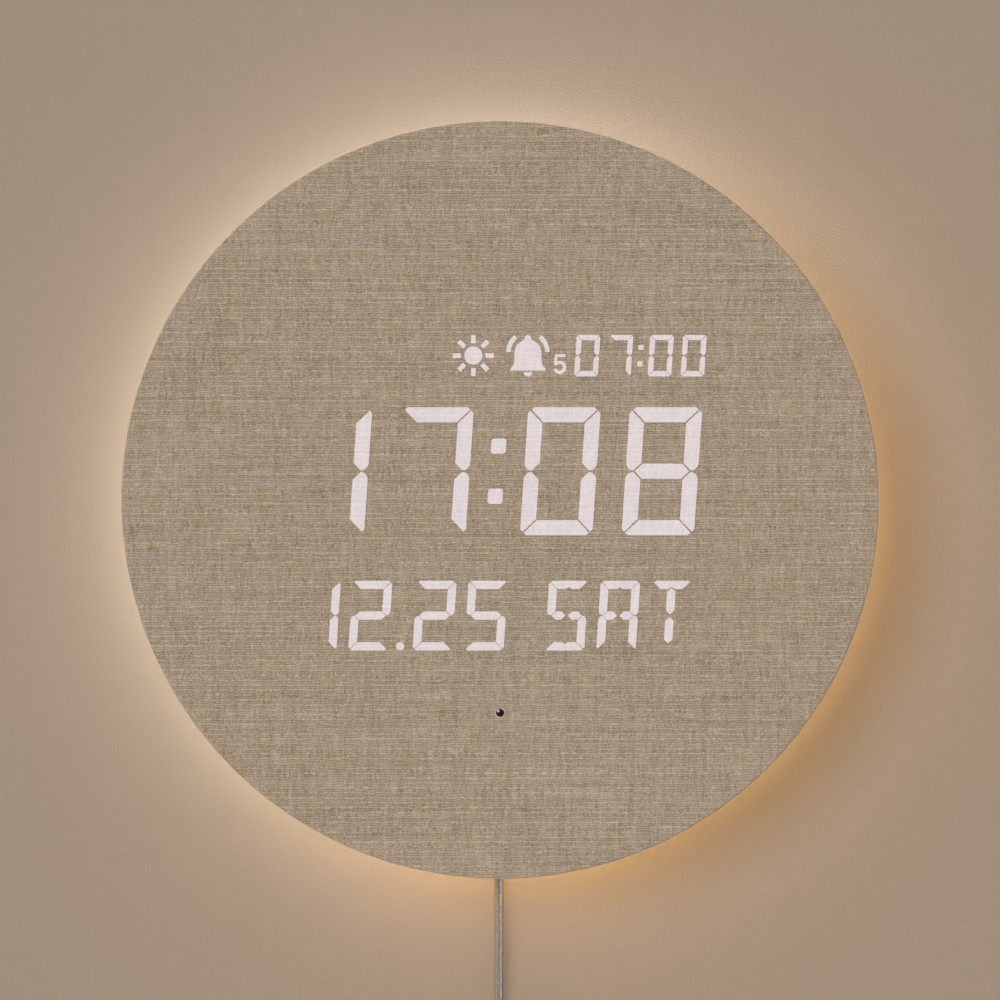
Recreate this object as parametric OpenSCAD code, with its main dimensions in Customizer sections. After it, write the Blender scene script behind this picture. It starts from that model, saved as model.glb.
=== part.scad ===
// Round wall clock: a linen face over a segment display, with a halo light behind it.
// All sizes are in millimetres. A piece is drawn with x to the right, y up and z out of the wall,
// from the middle of the face and the back of the housing, then turned to hang on the wall.
// The frame's origin is the middle of the keyhole's entry hole, +Z is up, the face looks to -Y.

/* [Face] */
// Diameter of the covered face
face_d = 300; // [290:1:330]
// Thickness of the face board
board_t = 9; // [8:0.5:12]
// Thickness of the linen
cloth_t = 0.8; // [0.4:0.1:1.2]
// Rounding of the board's front edge
edge_r = 0.5; // [0.5:0.5:4]
// Width of the linen tucked behind the board
tuck_w = 11; // [9:0.5:14]

/* [Fabric ring] */
// Thickness of the ring that holds the tucked linen
ring_t = 1.6; // [1.4:0.1:3]
// Width of the ring's foot, inside the linen's cut edge
ring_foot_w = 8; // [7:0.5:9]
// Space from the face's edge to the ring
ring_inset = 4; // [3:0.5:6]
// Number of ring screws
ring_screws_n = 8; // [6:1:12]

/* [Display rows] */
// Height of the time row's middle above the middle of the face
time_y = 11.4; // [6:0.2:16]
// Sideways place of the time row's colon
time_x = -1.2; // [-4:0.2:4]
// Space between the time and the alarm rows
alarm_gap = 12.2; // [11:0.1:14]
// Sideways place of the alarm row's colon
alarm_x = 55.6; // [50:0.2:56]
// Space between the time and the date rows
date_gap = 18; // [16:0.2:20]
// Sideways place of the middle of the date's four digits
date_x = -38.6; // [-42:0.2:-36]
// Space between the date and the weekday
word_gap = 16.2; // [12:0.2:18]
// Lean of the figures, in degrees
slant = 3.8; // [0:0.2:8]
// Space between two segments of a time digit
segment_gap = 0.6; // [0.4:0.05:0.8]

/* [Time digits] */
// Height of a time digit
time_h = 50.7; // [44:0.1:54]
// Width of a time digit
time_w = 28.7; // [26:0.1:32]
// Width of a time segment
time_bar = 6; // [4:0.1:7]
// Step from one time digit to the next
time_pitch = 40.2; // [38:0.1:42]
// Extra space for the colon of the time
time_colon = 10; // [8:0.1:12]

/* [Alarm digits] */
// Height of an alarm digit
alarm_h = 16.4; // [14:0.2:18]
// Width of an alarm digit
alarm_w = 9.4; // [8:0.1:10]
// Width of an alarm segment
alarm_bar = 2.1; // [1.6:0.1:2.6]
// Step from one alarm digit to the next
alarm_pitch = 13; // [12.4:0.1:13.6]
// Extra space for the colon of the alarm
alarm_colon = 3.1; // [3:0.1:4]

/* [Date digits] */
// Height of a date digit
date_h = 27.6; // [24:0.1:30]
// Width of a date digit
date_w = 15.7; // [14:0.1:17]
// Width of a date segment
date_bar = 3.3; // [2.6:0.1:4]
// Step from one date digit to the next
date_pitch = 20.4; // [19.6:0.1:21]
// Extra space for the dot of the date
date_dot = 5; // [4.6:0.1:6]

/* [Display parts] */
// Plastic left around the segments of a reflector block
block_edge = 3.6; // [3:0.1:4]
// Thickness of the circuit boards
pcb_t = 1.6; // [1:0.2:2]
// Thickness of a segment lens behind the linen
lens_t = 3; // [2:0.5:5]
// How far a lit lens stands out of the linen
lens_proud = 0.15; // [0.1:0.05:0.3]

/* [Sensor] */
// How far the sensor is below the middle of the face
sensor_drop = 84.2; // [82:0.2:90]
// Diameter of the sensor's lens
sensor_d = 3.2; // [2.6:0.1:5]

/* [Rear housing] */
// Depth of the rear housing
housing_depth = 26; // [24:0.5:34]
// How far the face reaches past the housing
overhang = 25; // [24:0.5:28]
// Depth of the light channel around the housing
channel_depth = 7; // [6:0.5:8]
// Thickness of the housing's walls
wall_t = 2.4; // [2:0.1:3]
// Thickness of the channel's two rims
rim_t = 3; // [2.4:0.2:4]
// Diameter of the posts for the case screws
post_d = 9; // [8.6:0.2:11]
// Depth of the holes that sink the case screws
case_screw_sink = 14; // [8:0.5:18]

/* [Wall hanger] */
// Height of the keyhole's entry above the middle of the face
hang_height = 78; // [72:1:80]
// Diameter of the keyhole's entry
keyhole_d = 9; // [8:0.2:10]
// Width of the keyhole's slot
slot_w = 4.2; // [3.6:0.1:5]
// How far the slot rises
slot_rise = 10; // [8:0.5:12]
// Thickness of the hanger plate
plate_t = 1.5; // [1.2:0.1:2]
// Width of the hanger plate
plate_w = 46; // [44:1:56]
// Room for the wall screw's head behind the plate
head_room = 7; // [5:0.5:9]
// Diameter of a wall pad
pad_d = 14; // [10:0.5:18]
// Thickness of a wall pad
pad_t = 2; // [1.5:0.1:4]

/* [Halo light] */
// Width of the light strip
strip_w = 8; // [5:0.5:12]
// Thickness of the light strip
strip_t = 0.4; // [0.3:0.1:0.6]
// Number of lights on the strip
strip_led_n = 48; // [36:2:60]
// Thickness of the frosted ring
frost_t = 2; // [1.4:0.1:2.4]

/* [Main board] */
// Width of the main board
main_w = 120; // [118:1:130]
// Height of the main board
main_h = 56; // [55:1:58]
// How far the main board's middle is below the middle of the face
main_drop = 48; // [47:0.5:50]

/* [Buttons] */
// Diameter of a button
button_d = 8; // [6:0.2:10]
// Step from one button to the next
button_pitch = 16; // [14:0.5:17]
// How far a button stands out of the back
button_proud = 1; // [0.5:0.1:1.4]
// How far a button goes in
button_travel = 0.5; // [0.3:0.05:0.6]
// Width of a switch
switch_w = 6; // [5:0.1:7]
// Height of a switch
switch_h = 3.5; // [3.2:0.1:5]

/* [Battery] */
// Diameter of the coin cell
cell_d = 20; // [16:0.5:24]
// Thickness of the coin cell
cell_t = 3.2; // [2:0.1:5]
// How far the battery's middle is above the middle of the face
battery_rise = 12; // [8:0.5:16]
// Thickness of the battery door's plate
door_t = 2.2; // [1.8:0.1:2.6]
// How far the battery door turns, in degrees
door_turn = 45; // [40:1:50]

/* [Cord and plug] */
// Diameter of the cord
cord_d = 3.8; // [3:0.1:4]
// Length of the boot outside the housing
boot_len = 16; // [14:0.5:20]
// Distance from the housing's back to the middle of the hanging cord
cord_rest = 2.2; // [1.7:0.1:6]
// Width of the plug's body
plug_w = 15; // [14:0.2:17]
// Thickness of the plug's body
plug_t = 8; // [7:0.2:9]
// Length of the plug's body
plug_len = 24; // [20:0.5:30]

/* [Hidden] */
$fn = 72;
arc_steps = 4;

// Clearances
window_fit = 0.2;   // a reflector block in its window
lens_fit = 0.05;    // a lens in its reflector and in the linen
tuck_gap = 0.5;     // the ring's foot and the linen's cut edge
sensor_fit = 0.15;  // the sensor's lens in the linen and the board, each side
screw_fit = 0.1;    // a screw in its hole, each side
seat_fit = 0.3;     // a screw head in its sink, each side
plate_fit = 0.15;   // the hanger plate in its seat, each side
button_fit = 0.2;   // a button in its hole, each side, and behind the wall
plunger_fit = 0.1;  // a plunger in its switch, each side
door_fit = 0.25;    // the battery door in its seat, each side
lug_fit = 0.15;     // the door's lugs in their groove
frost_fit = 0.1;    // the frosted ring in its grooves
boot_fit = 0.1;     // the boot in the housing's wall

// Levels along the depth
board_back = housing_depth;
board_front = board_back + board_t;
face_front = board_front + cloth_t;
lens_front = face_front + lens_proud;
lens_back = board_front - lens_t;
pcb_back = board_back - pcb_t;
strip_z = housing_depth / 2;

// Radii of the face and the housing
face_r = face_d / 2;
board_r = face_r - cloth_t;
tuck_r = face_r - tuck_w;
foot_out = tuck_r - tuck_gap;
foot_in = foot_out - ring_foot_w;
lip_out = face_r - ring_inset;
ring_screw_r = foot_in + ring_foot_w / 2;
ring_screw_a = 22.5;
ring_chamfer = 0.5;
ring_back = board_back - cloth_t - ring_t;
flange_r = face_r - overhang;
drum_r = flange_r - channel_depth;
drum_in = drum_r - wall_t;
post_r = drum_in - post_d / 2 - 1;
frost_out = flange_r - 1;
frost_in = frost_out - frost_t;
groove_d = 1;
groove_out = frost_out + frost_fit;
groove_in = frost_in - frost_fit;
rim_r = 1.2;
light_gap = 4;
strip_gap = 5;
strip_glue = 0.02;
strip_led_size = [0.9, 3.5, 2.8];

// Small self-tapping screws for the boards and the ring
tap_d = 2.5;
tap_head_d = 4.6;
tap_head_t = 1.3;
tap_bite = 5;
// Case screws
case_d = 3;
case_head_d = 5.6;
case_head_t = 2.2;
case_bite = 6;
case_n = 6;
// Heads and tips of all screws
head_land = 0.2;
head_round = 0.6;
screw_tip = 1;
screw_tip_r = 0.3;
drive_w = 0.7;
drive_depth = 0.7;
drive_reach = 0.6;

// Outlines are lists of points
function arc(c, r, a0, a1, n = arc_steps) =
    [for (i = [0:n]) let (a = a0 + (a1 - a0) * i / n) [c.x + r * cos(a), c.y + r * sin(a)]];
function moved(p, d) = [for (q = p) q + d];
function flip_x(p) = [for (i = [len(p) - 1:-1:0]) [-p[i].x, p[i].y]];
function flip_y(p) = [for (i = [len(p) - 1:-1:0]) [p[i].x, -p[i].y]];
function leaned(p) = [for (q = p) [q.x + q.y * tan(slant), q.y]];
function sized(p, k) = [for (q = p) q * k];
function middle(p) = [for (k = [0, 1]) (max([for (q = p) q[k]]) + min([for (q = p) q[k]])) / 2];
function unit(v) = v / norm(v);
function side(p, q) = let (u = unit(q - p)) [u.y, -u.x];
function grown(p, m) = [for (i = [0:len(p) - 1])
    let (a = p[(i + len(p) - 1) % len(p)], b = p[i], c = p[(i + 1) % len(p)])
    let (n1 = side(a, b), n2 = side(b, c)) b + m * (n1 + n2) / (1 + n1 * n2)];
function round_box(w, h, r) = concat(
    arc([w / 2 - r, h / 2 - r], r, 0, 90), arc([r - w / 2, h / 2 - r], r, 90, 180),
    arc([r - w / 2, r - h / 2], r, 180, 270), arc([w / 2 - r, r - h / 2], r, 270, 360));

// Segments of one figure: w wide, h high, with bars t wide
gap_least = 0.2;
stem_gap = 0.45;
notch = 0.9;
function corner(t) = 0.4 * t;
function gap(t) = max(gap_least, segment_gap * pow(t / time_bar, 2));
function mitre(t) = gap(t) / sqrt(2);
function waist(t) = gap(t) * 0.914;
function bar_top(W, H, t, notched) = let (m = mitre(t), c = corner(t)) concat(
    [[-W + t + m, H - t]], notched ? [[-1.1, H - t], [0, H - t + notch], [1.1, H - t]] : [],
    [[W - t - m, H - t], [W - (c + m) / 2, H - (c - m) / 2], [W - c, H], [c - W, H],
    [(c + m) / 2 - W, H - (c - m) / 2]]);
function bar_side(W, H, t) = let (m = mitre(t), c = corner(t), e = gap(t) / 2) concat(
    [[W - t, H - t - m], [W - t, t / 2 + e]], arc([W - t / 2, t / 2 + e], t / 2, 270, 360),
    [[W, H - c], [W - (c - m) / 2, H - (c + m) / 2]]);
function bar_mid(W, t) = let (v = waist(t)) [[t / 2 + v - W, 0], [t + v - W, -t / 2],
    [W - t - v, -t / 2], [W - t / 2 - v, 0], [W - t - v, t / 2], [t + v - W, t / 2]];
function bar_half(W, t) = let (v = waist(t)) [[t / 2 + v - W, 0], [t + v - W, -t / 2],
    [-t / 2 - stem_gap, -t / 2], [-stem_gap, 0], [-t / 2 - stem_gap, t / 2], [t + v - W, t / 2]];
function bar_stem(H, t) = [[0, stem_gap], [t / 2, stem_gap + t / 2], [t / 2, H - t - 1],
    [0, H - t + notch - stem_gap], [-t / 2, H - t - 1], [-t / 2, stem_gap + t / 2]];
function bar(k, W, H, t) =
    k == "a" || k == "A" ? bar_top(W, H, t, k == "A") :
    k == "d" || k == "D" ? flip_y(bar_top(W, H, t, k == "D")) :
    k == "b" ? bar_side(W, H, t) :
    k == "c" ? flip_y(bar_side(W, H, t)) :
    k == "f" ? flip_x(bar_side(W, H, t)) :
    k == "e" ? flip_x(flip_y(bar_side(W, H, t))) :
    k == "h" ? bar_half(W, t) :
    k == "k" ? flip_x(bar_half(W, t)) :
    k == "i" ? bar_stem(H, t) :
    k == "l" ? flip_y(bar_stem(H, t)) : bar_mid(W, t);
digit_bars = "abcdefg";
letter_bars = "AbcDefhkil";
function lit_bars(ch) =
    ch == "0" ? "abcdef" : ch == "1" ? "bc" : ch == "2" ? "abged" : ch == "5" ? "afgcd" :
    ch == "7" ? "abc" : ch == "8" ? digit_bars : ch == "S" ? "AfhkcD" : ch == "A" ? "Afbhkec" : "Ail";
function all_bars(ch) = len(search(ch, "SAT")) > 0 ? letter_bars : digit_bars;
function has(k, s) = len(search(k, s)) > 0;
function figure(ch, x, y, w, h, t, lit) = [for (k = all_bars(ch)) if (has(k, lit_bars(ch)) == lit)
    moved(leaned(bar(k, w / 2, h / 2, t)), [x, y])];
function steps(x, pitch, gap) = [for (i = [0:3]) x + (i - 1.5) * pitch + (i < 2 ? -gap / 2 : gap / 2)];
function row(text_list, xs, y, w, h, t, lit) = [for (i = [0:len(xs) - 1])
    each figure(text_list[i], xs[i], y, w, h, t, lit)];
function colon(x, y, h, t) = [for (s = [-1, 1])
    moved(leaned(moved(round_box(t, t, t / 5), [0, s * h * 0.196])), [x, y])];

// Places of the rows
alarm_y = time_y + time_h / 2 + alarm_gap + alarm_h / 2;
date_y = time_y - time_h / 2 - date_gap - date_h / 2;
time_xs = steps(time_x, time_pitch, time_colon);
alarm_xs = steps(alarm_x, alarm_pitch, alarm_colon);
date_xs = steps(date_x, date_pitch, date_dot);
word_x = date_xs[3] + date_w + word_gap;
word_xs = [for (i = [0:2]) word_x + i * date_pitch];
icon_k = alarm_h / 16.6;
five_x = alarm_xs[0] - alarm_w / 2 - 6.3 * icon_k;
bell_x = five_x - 12.7 * icon_k;
sun_x = bell_x - 21.9 * icon_k;

// Status icons, drawn for an alarm row 16.6 high
sun_disc = arc([0, 0], 3.65, 0, 345, 23);
sun_ray = [[4.9, -0.95], [8.2, -0.95], [8.2, 0.95], [4.9, 0.95]];
function turned(p, a) = [for (q = p) [q.x * cos(a) - q.y * sin(a), q.x * sin(a) + q.y * cos(a)]];
bell_half = concat([[6.8, -6], [7.2, -5.5], [6.5, -4.6], [5.9, -3.9], [5.55, -3.1]],
    arc([0, 0.95], 5.44, 0, 72, 7), arc([0, 6.9], 1.34, 0, 90, 4));
bell_body = concat(bell_half, [for (i = [len(bell_half) - 2:-1:0]) [-bell_half[i].x, bell_half[i].y]]);
bell_clapper = arc([0, -6.6], 1.8, 180, 360, 9);
bell_wave = concat(arc([0, 1.4], 8.7, 0, 52, 6), arc([0, 1.4], 6.9, 52, 0, 6));
five = concat([[-1.9, 4], [-2.3, -0.4], [-1, -0.55]], arc([0, -1.3], 1.3, 130, -150, 12),
    [[-2.6, -1.85]], arc([0, -1.3], 2.7, 200, 475, 14), [[-0.75, 2.8], [2.3, 2.8], [2.3, 4]]);
five_bar = [0.2, 3.4];
five_at = [five_x, alarm_y - 3.4 * icon_k];
icons = concat([moved(sized(sun_disc, icon_k), [sun_x, alarm_y])],
    [for (i = [0:7]) moved(sized(turned(sun_ray, 45 * i), icon_k), [sun_x, alarm_y])],
    [for (p = [bell_body, bell_clapper, bell_wave, flip_x(bell_wave)])
        moved(sized(p, icon_k), [bell_x, alarm_y])],
    [moved(sized(five, icon_k), five_at)]);

time_text = ["1", "7", "0", "8"];
alarm_text = ["0", "7", "0", "0"];
date_text = ["1", "2", "2", "5"];
word_text = ["S", "A", "T"];
function time_bars(lit) = row(time_text, time_xs, time_y, time_w, time_h, time_bar, lit);
function alarm_bars(lit) = row(alarm_text, alarm_xs, alarm_y, alarm_w, alarm_h, alarm_bar, lit);
function date_bars(lit) = concat(row(date_text, date_xs, date_y, date_w, date_h, date_bar, lit),
    row(word_text, word_xs, date_y, date_w, date_h, date_bar, lit));
time_lit = concat(time_bars(true), colon(time_x, time_y, time_h, time_bar));
alarm_lit = concat(alarm_bars(true), colon(alarm_x, alarm_y, alarm_h, alarm_bar));
dot_at = [date_x - date_h / 2 * tan(slant), date_y - date_h / 2 + date_bar / 2];
date_lit = concat(date_bars(true), [moved(arc([0, 0], date_bar / 2, 0, 337.5, 15), dot_at)]);
time_dark = time_bars(false);
alarm_dark = alarm_bars(false);
date_dark = date_bars(false);

// Reflector blocks: left, right, bottom and top of each
lean_x = time_h / 2 * tan(slant);
time_box = [time_xs[0] - time_w / 2 - lean_x - block_edge, time_xs[3] + time_w / 2 + lean_x + block_edge,
    time_y - time_h / 2 - block_edge, time_y + time_h / 2 + block_edge];
alarm_box = [sun_x - 8.2 * icon_k - block_edge, alarm_xs[3] + alarm_w / 2 + block_edge,
    alarm_y - alarm_h / 2 - block_edge, alarm_y + alarm_h / 2 + block_edge];
date_box = [date_xs[0] - date_w / 2 - block_edge, word_xs[2] + date_w / 2 + block_edge,
    date_y - date_h / 2 - block_edge, date_y + date_h / 2 + block_edge];
blocks = [time_box, alarm_box, date_box];

// Display board and its screws
pcb_edge = 8;
pcb_left = min([for (b = blocks) b[0]]) - pcb_edge;
pcb_right = max([for (b = blocks) b[1]]) + pcb_edge;
pcb_low = date_box[2] - pcb_edge;
pcb_high = alarm_box[3] + pcb_edge;
pcb_clip = drum_in - 0.6;
row_between = (time_box[2] + date_box[3]) / 2;
display_screws = [[-60, row_between], [60, row_between], [-60, alarm_y], [30, pcb_high - pcb_edge / 2],
    [-62, pcb_low + pcb_edge / 2], [62, pcb_low + pcb_edge / 2]];
led_size = [1.6, 0.8, 0.6];
led_places = concat(
    [for (p = concat(time_lit, alarm_lit, date_lit, time_dark, alarm_dark, date_dark)) middle(p)],
    [[sun_x, alarm_y], [bell_x, alarm_y], five_at + five_bar * icon_k]);

// Sensor
sensor_y = -sensor_drop;
sensor_pcb = [34, 15];
sensor_screws = [[-13, sensor_y], [13, sensor_y]];
sensor_chip_size = [5, 4, 2.4];
sensor_dome = 0.9;
sensor_room_d = 8;
sensor_room_h = 3;

// Buttons, switches and the main board behind them
key_room = 2.2;
plunger_reach = 0.9;
key_end = wall_t + key_room;
switch_face = key_end + plunger_reach;
main_z = switch_face + switch_h;
main_front = main_z + pcb_t;
main_y = -main_drop;
main_low = main_y - main_h / 2;
main_high = main_y + main_h / 2;
button_inset = 14;
button_y = main_low + button_inset;
key_flange_d = button_d + 2.6;
mark_depth = 0.25;
mark_k = 0.3;
plunger_d = 3.4;
plunger_depth = button_travel + 1;
post_inset = 6;
main_screws = [for (x = [-1, 1]) for (y = [main_low + post_inset, main_high - post_inset])
    [x * (main_w / 2 - post_inset), y]];
main_post_d = 6.4;
buzzer_d = 14;
buzzer_t = 5;
buzzer_inset = [20, 16];
buzzer_at = [main_w / 2 - buzzer_inset.x, main_high - buzzer_inset.y];
vent_d = 1.6;
vent_r = 3.4;
vent_n = 6;
chip_t = 1.6;
controller_x = 14;
controller_w = 12;
driver_x = -14;
driver_ys = [-9, 4];
driver_size = [10, 6];
crystal_at = [32.2, main_low + 10.2];
crystal_w = 4.4;
crystal_len = 11;
crystal_t = 3.6;
capacitor_inset = 18;
capacitor_x = main_w / 2 - capacitor_inset;
capacitor_pitch = 12;
capacitor_d = 8;
socket_w = 5;
socket_len = 6;
socket_h = 6;
lead_z = main_front + socket_h / 2;
socket_inset = 10;
socket_low = main_low + socket_inset;
lead_d = 2;
power_d = 3;
power_straight = 8;
strip_lead_x = 12;
sensor_lead_x = -7;
ribbon_x = -32;
ribbon_w = 22;
ribbon_t = 0.8;
ribbon_socket_h = 5;
ribbon_steps = 12;
ribbon_inset = 6;
ribbon_run = 42;
ribbon_y0 = main_high - ribbon_inset;
ribbon_y1 = ribbon_y0 + ribbon_run;

// Hanger
plate_below = 7;
plate_above = 10;
plate_corner = 4;
plate_screw_inset = 5;
plate_low = keyhole_d / 2 + plate_below;
plate_high = slot_rise + slot_w / 2 + plate_above;
plate_h = plate_low + plate_high;
plate_y = hang_height + (plate_high - plate_low) / 2;
hanger_places = [for (x = [-1, 1]) [x * (plate_w / 2 - plate_screw_inset), plate_y]];
seat_wall = 2.5;
pocket_w = keyhole_d + 8;
pocket_low = keyhole_d / 2 + 2.5;
pocket_high = slot_rise + keyhole_d / 2 + 2;
pad_inset = 11;
pad_round = 0.6;
pad_r = drum_r - pad_d / 2 - pad_inset;
pad_angles = [25, 155, 205, 335];

// Battery
door_d = cell_d + 6;
coin_slot = 0.72 * door_d;
coin_slot_w = 2;
coin_slot_depth = 1.2;
dot_d = 1.4;
dot_in = 1.8;
dot_depth = 0.4;
hub_r = cell_d / 2 + 0.5;
hub_in = cell_d / 2 - 1.6;
well_r = hub_r + door_fit;
lug_r = well_r + 1.3;
lug_way_r = lug_r + lug_fit;
groove_r = lug_way_r + 0.3;
hub_h = 2;
lug_t = 0.9;
lug_a = 24;
lug_way_a = 4;
door_seat = door_t + 0.1;
lug_z = door_t + hub_h - lug_t;
groove_z = lug_z - lug_fit;
hub_end = door_t + hub_h;
cell_z = hub_end + 0.3;
well_floor = cell_z + cell_t + 1.3;
well_top = well_floor + 2;
well_out_d = door_d + 6;
tab_top = well_top + 1.6;
tab_x = -6;
tab_w = 1.6;
contact_t = 0.3;
strip_at = cell_d / 2 + 0.12;
battery_lead_d = 1.2;
battery_lead_z = well_top + 0.8;

// Boot and plug
boot_neck_d = 7;
boot_flange_d = 10;
boot_tip_d = 5.6;
boot_in = 2;
boot_slack = 0.2;
boot_grooves = 5;
boot_room = 0.3;
cord_z = rim_t + boot_flange_d / 2 + boot_room;
plug_boot = 10;
plug_boot_d = 5.2;
plug_round = 2.4;
grip_n = 5;
grip_pitch = 2.6;
grip_w = 1.2;
grip_depth = 0.4;
plug_face = plug_boot + plug_len;
shell_w = 12;
shell_t = 4.5;
shell_wall = 0.3;
shell_len = 18.8;
plug_slot_at = 9.5;
tongue_w = shell_w - 2 * shell_wall - 0.4;
tongue_t = 1.9;
plug_contact_xs = [-3.6, -1.2, 1.2, 3.6];

// Cord: from the boot back to the wall, down a hand-chosen route of x and drop, then the coil's formula,
// in the hung frame
cord_y = -cord_rest;
drop_top = -hang_height - drum_r - boot_len;
bend_drop = 24;
bend_steps = 8;
drop_route = [[0, 34], [0, 44], [0, 54], [0, 64], [0, 72], [-0.7, 77.2], [-2.7, 82], [-5.9, 86.1],
    [-10, 89.3], [-13.2, 90.8], [-16.5, 92.3], [-20.6, 95.5], [-23.8, 99.6], [-25.8, 104.5],
    [-26.5, 109.6], [-26.5, 117], [-26.5, 124.2]];
coil_drop = 128;
coil_gap = 0.5;
coil_turns = 10;
coil_rings = 24;
coil_r = 26.5;
coil_zc = drop_top - coil_drop;
coil_pitch = cord_d + coil_gap;
tail_len = 22;
quarter = coil_turns / 4;
function climb(u) = let (t = max(0, min(1, u))) t * t * (3 - 2 * t);
function coil_radius(u) = let (k = floor(u / quarter), f = u / quarter - k)
    coil_r - coil_pitch * quarter * (k % 2 == 0 ? f : 1 - f);
function coil_layer(u) = climb((u - quarter + 0.25) * 2) + climb((u - 2 * quarter + 0.25) * 2)
    + climb((u - 3 * quarter + 0.25) * 2);
function coil_point(u) = let (r = coil_radius(u), a = 180 + 360 * u)
    [r * cos(a), cord_y - coil_layer(u) * coil_pitch, coil_zc + r * sin(a)];
drop_path = concat([for (i = [0:bend_steps]) let (t = i / bend_steps)
        [0, (cord_z - cord_rest) * climb(t) - cord_z, drop_top - bend_drop * t]],
    [for (p = drop_route) [p.x, cord_y, drop_top - p.y]]);
coil_path = concat([[-coil_r, cord_y, coil_zc + 3.8]],
    [for (i = [0:coil_turns * coil_rings]) coil_point(i / coil_rings)],
    [[-coil_r, cord_y - 3 * coil_pitch, coil_zc - tail_len]]);
plug_at = [-coil_r, cord_y - 3 * coil_pitch, coil_zc - tail_len];
tie_room = 0.9;
tie_t = 1.2;
tie_round = 1.5;
tie_w = 9;
tie_in = coil_r - coil_pitch * quarter - cord_d / 2 - tie_room;
tie_out = coil_r + cord_d / 2 + tie_room;
tie_front = cord_y - 3 * coil_pitch - cord_d / 2 - tie_room / 2;
tie_back = cord_y + cord_d / 2 + tie_room / 2;

// Least gap of the cord to itself, from its points
cord_path = concat(drop_path, coil_path);
function least_gap(p, skip) = min([for (i = [0:len(p) - 1]) for (j = [i + skip:1:len(p) - 1])
    norm(p[i] - p[j])]) - cord_d;
echo(cord_least_gap = least_gap(cord_path, coil_rings / 2));

// A tube along a path, with square ends. Its faces are triangles.
function path_dir(p, i) = unit(p[min(i + 1, len(p) - 1)] - p[max(i - 1, 0)]);
module tube(p, d, n) {
    m = len(p);
    points = [for (i = [0:m - 1]) let (t = path_dir(p, i), e = unit(cross(t, [0, 1, 0])), b = cross(e, t))
        each [for (k = [0:n - 1]) p[i] + d / 2 * (cos(360 * k / n) * e + sin(360 * k / n) * b)]];
    sides = [for (i = [0:m - 2]) for (k = [0:n - 1]) let (a = i * n + k, b = i * n + (k + 1) % n)
        each [[a, b, a + n], [b, b + n, a + n]]];
    last = (m - 1) * n;
    caps = [for (k = [1:n - 2]) each [[0, k + 1, k], [last, last + k, last + k + 1]]];
    polyhedron(points, concat(sides, caps));
}

module on_wall() {
    translate([0, 0, -hang_height]) rotate([90, 0, 0]) children();
}

module prisms(outlines, z0, z1) {
    for (p = outlines) translate([0, 0, z0]) linear_extrude(z1 - z0) polygon(p);
}

module windows(outlines, z0, z1) {
    prisms([for (p = outlines) grown(p, lens_fit)], z0, z1);
}

module box_prism(b, z0, z1, grow = 0) {
    translate([b[0] - grow, b[2] - grow, z0])
        cube([b[1] - b[0] + 2 * grow, b[3] - b[2] + 2 * grow, z1 - z0]);
}

// A plate with round corners, exact
module round_plate(w, h, r, z0, z1) {
    translate([0, 0, z0]) linear_extrude(z1 - z0) union() {
        square([w - 2 * r, h], center = true);
        square([w, h - 2 * r], center = true);
        for (x = [-1, 1]) for (y = [-1, 1]) translate([x * (w / 2 - r), y * (h / 2 - r)]) circle(r);
    }
}

// The cross that a screwdriver turns, sunk from z towards +z
module drive_cross(head_d, z) {
    w = drive_reach * head_d;
    for (a = [0, 90]) rotate([0, 0, a]) translate([-w / 2, -drive_w / 2, z - 1])
        cube([w, drive_w, drive_depth + 1]);
}

// Rounded screw head at z = 0, shank towards +z
module screw(shank_d, head_d, head_t, len) {
    difference() {
        rotate_extrude() polygon(concat([[0, -head_t]],
            arc([head_d / 2 - head_round, head_round - head_t], head_round, 270, 360), [[head_d / 2, 0],
            [shank_d / 2, 0], [shank_d / 2, len - screw_tip], [screw_tip_r, len], [0, len]]));
        drive_cross(head_d, -head_t);
    }
}

// Countersunk screw, head flush at z = 0, shank towards +z
module flat_screw(shank_d, head_d, len) {
    difference() {
        rotate_extrude() polygon([[0, 0], [head_d / 2, 0], [head_d / 2, head_land],
            [shank_d / 2, head_land + (head_d - shank_d) / 2], [shank_d / 2, len - screw_tip],
            [screw_tip_r, len], [0, len]]);
        drive_cross(head_d, 0);
    }
}

module flat_hole(shank_d, head_d, len) {
    head = head_d / 2 + screw_fit;
    shank = shank_d / 2 + screw_fit;
    rotate_extrude() polygon([[0, -1], [head, -1], [head, head_land],
        [shank, head_land + (head_d - shank_d) / 2], [shank, len], [0, len]]);
}

module ring_places(r, n, a0) {
    for (i = [0:n - 1]) rotate([0, 0, a0 + 360 * i / n]) translate([r, 0, 0]) children();
}

module at_all(places, z) {
    for (p = places) translate([p.x, p.y, z]) children();
}

module pilot(d, depth) {
    translate([0, 0, -0.01]) cylinder(d = d + 2 * screw_fit, h = depth + 0.5);
}

// Face

module linen_cover() {
    color("#a1907b") on_wall() difference() {
        rotate_extrude() polygon(concat([[0, board_front], [board_r - edge_r, board_front]],
            arc([board_r - edge_r, board_front - edge_r], edge_r, 90, 0, 6), [[board_r, board_back],
            [tuck_r, board_back], [tuck_r, board_back - cloth_t]],
            arc([board_r, board_back], cloth_t, 270, 360, 3),
            arc([board_r - edge_r, board_front - edge_r], edge_r + cloth_t, 0, 90, 6), [[0, face_front]]));
        windows(concat(time_lit, alarm_lit, date_lit, icons), board_front - 1, face_front + 1);
        translate([0, sensor_y, board_front - 1]) cylinder(d = sensor_d + 2 * sensor_fit, h = cloth_t + 2);
    }
}

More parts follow.
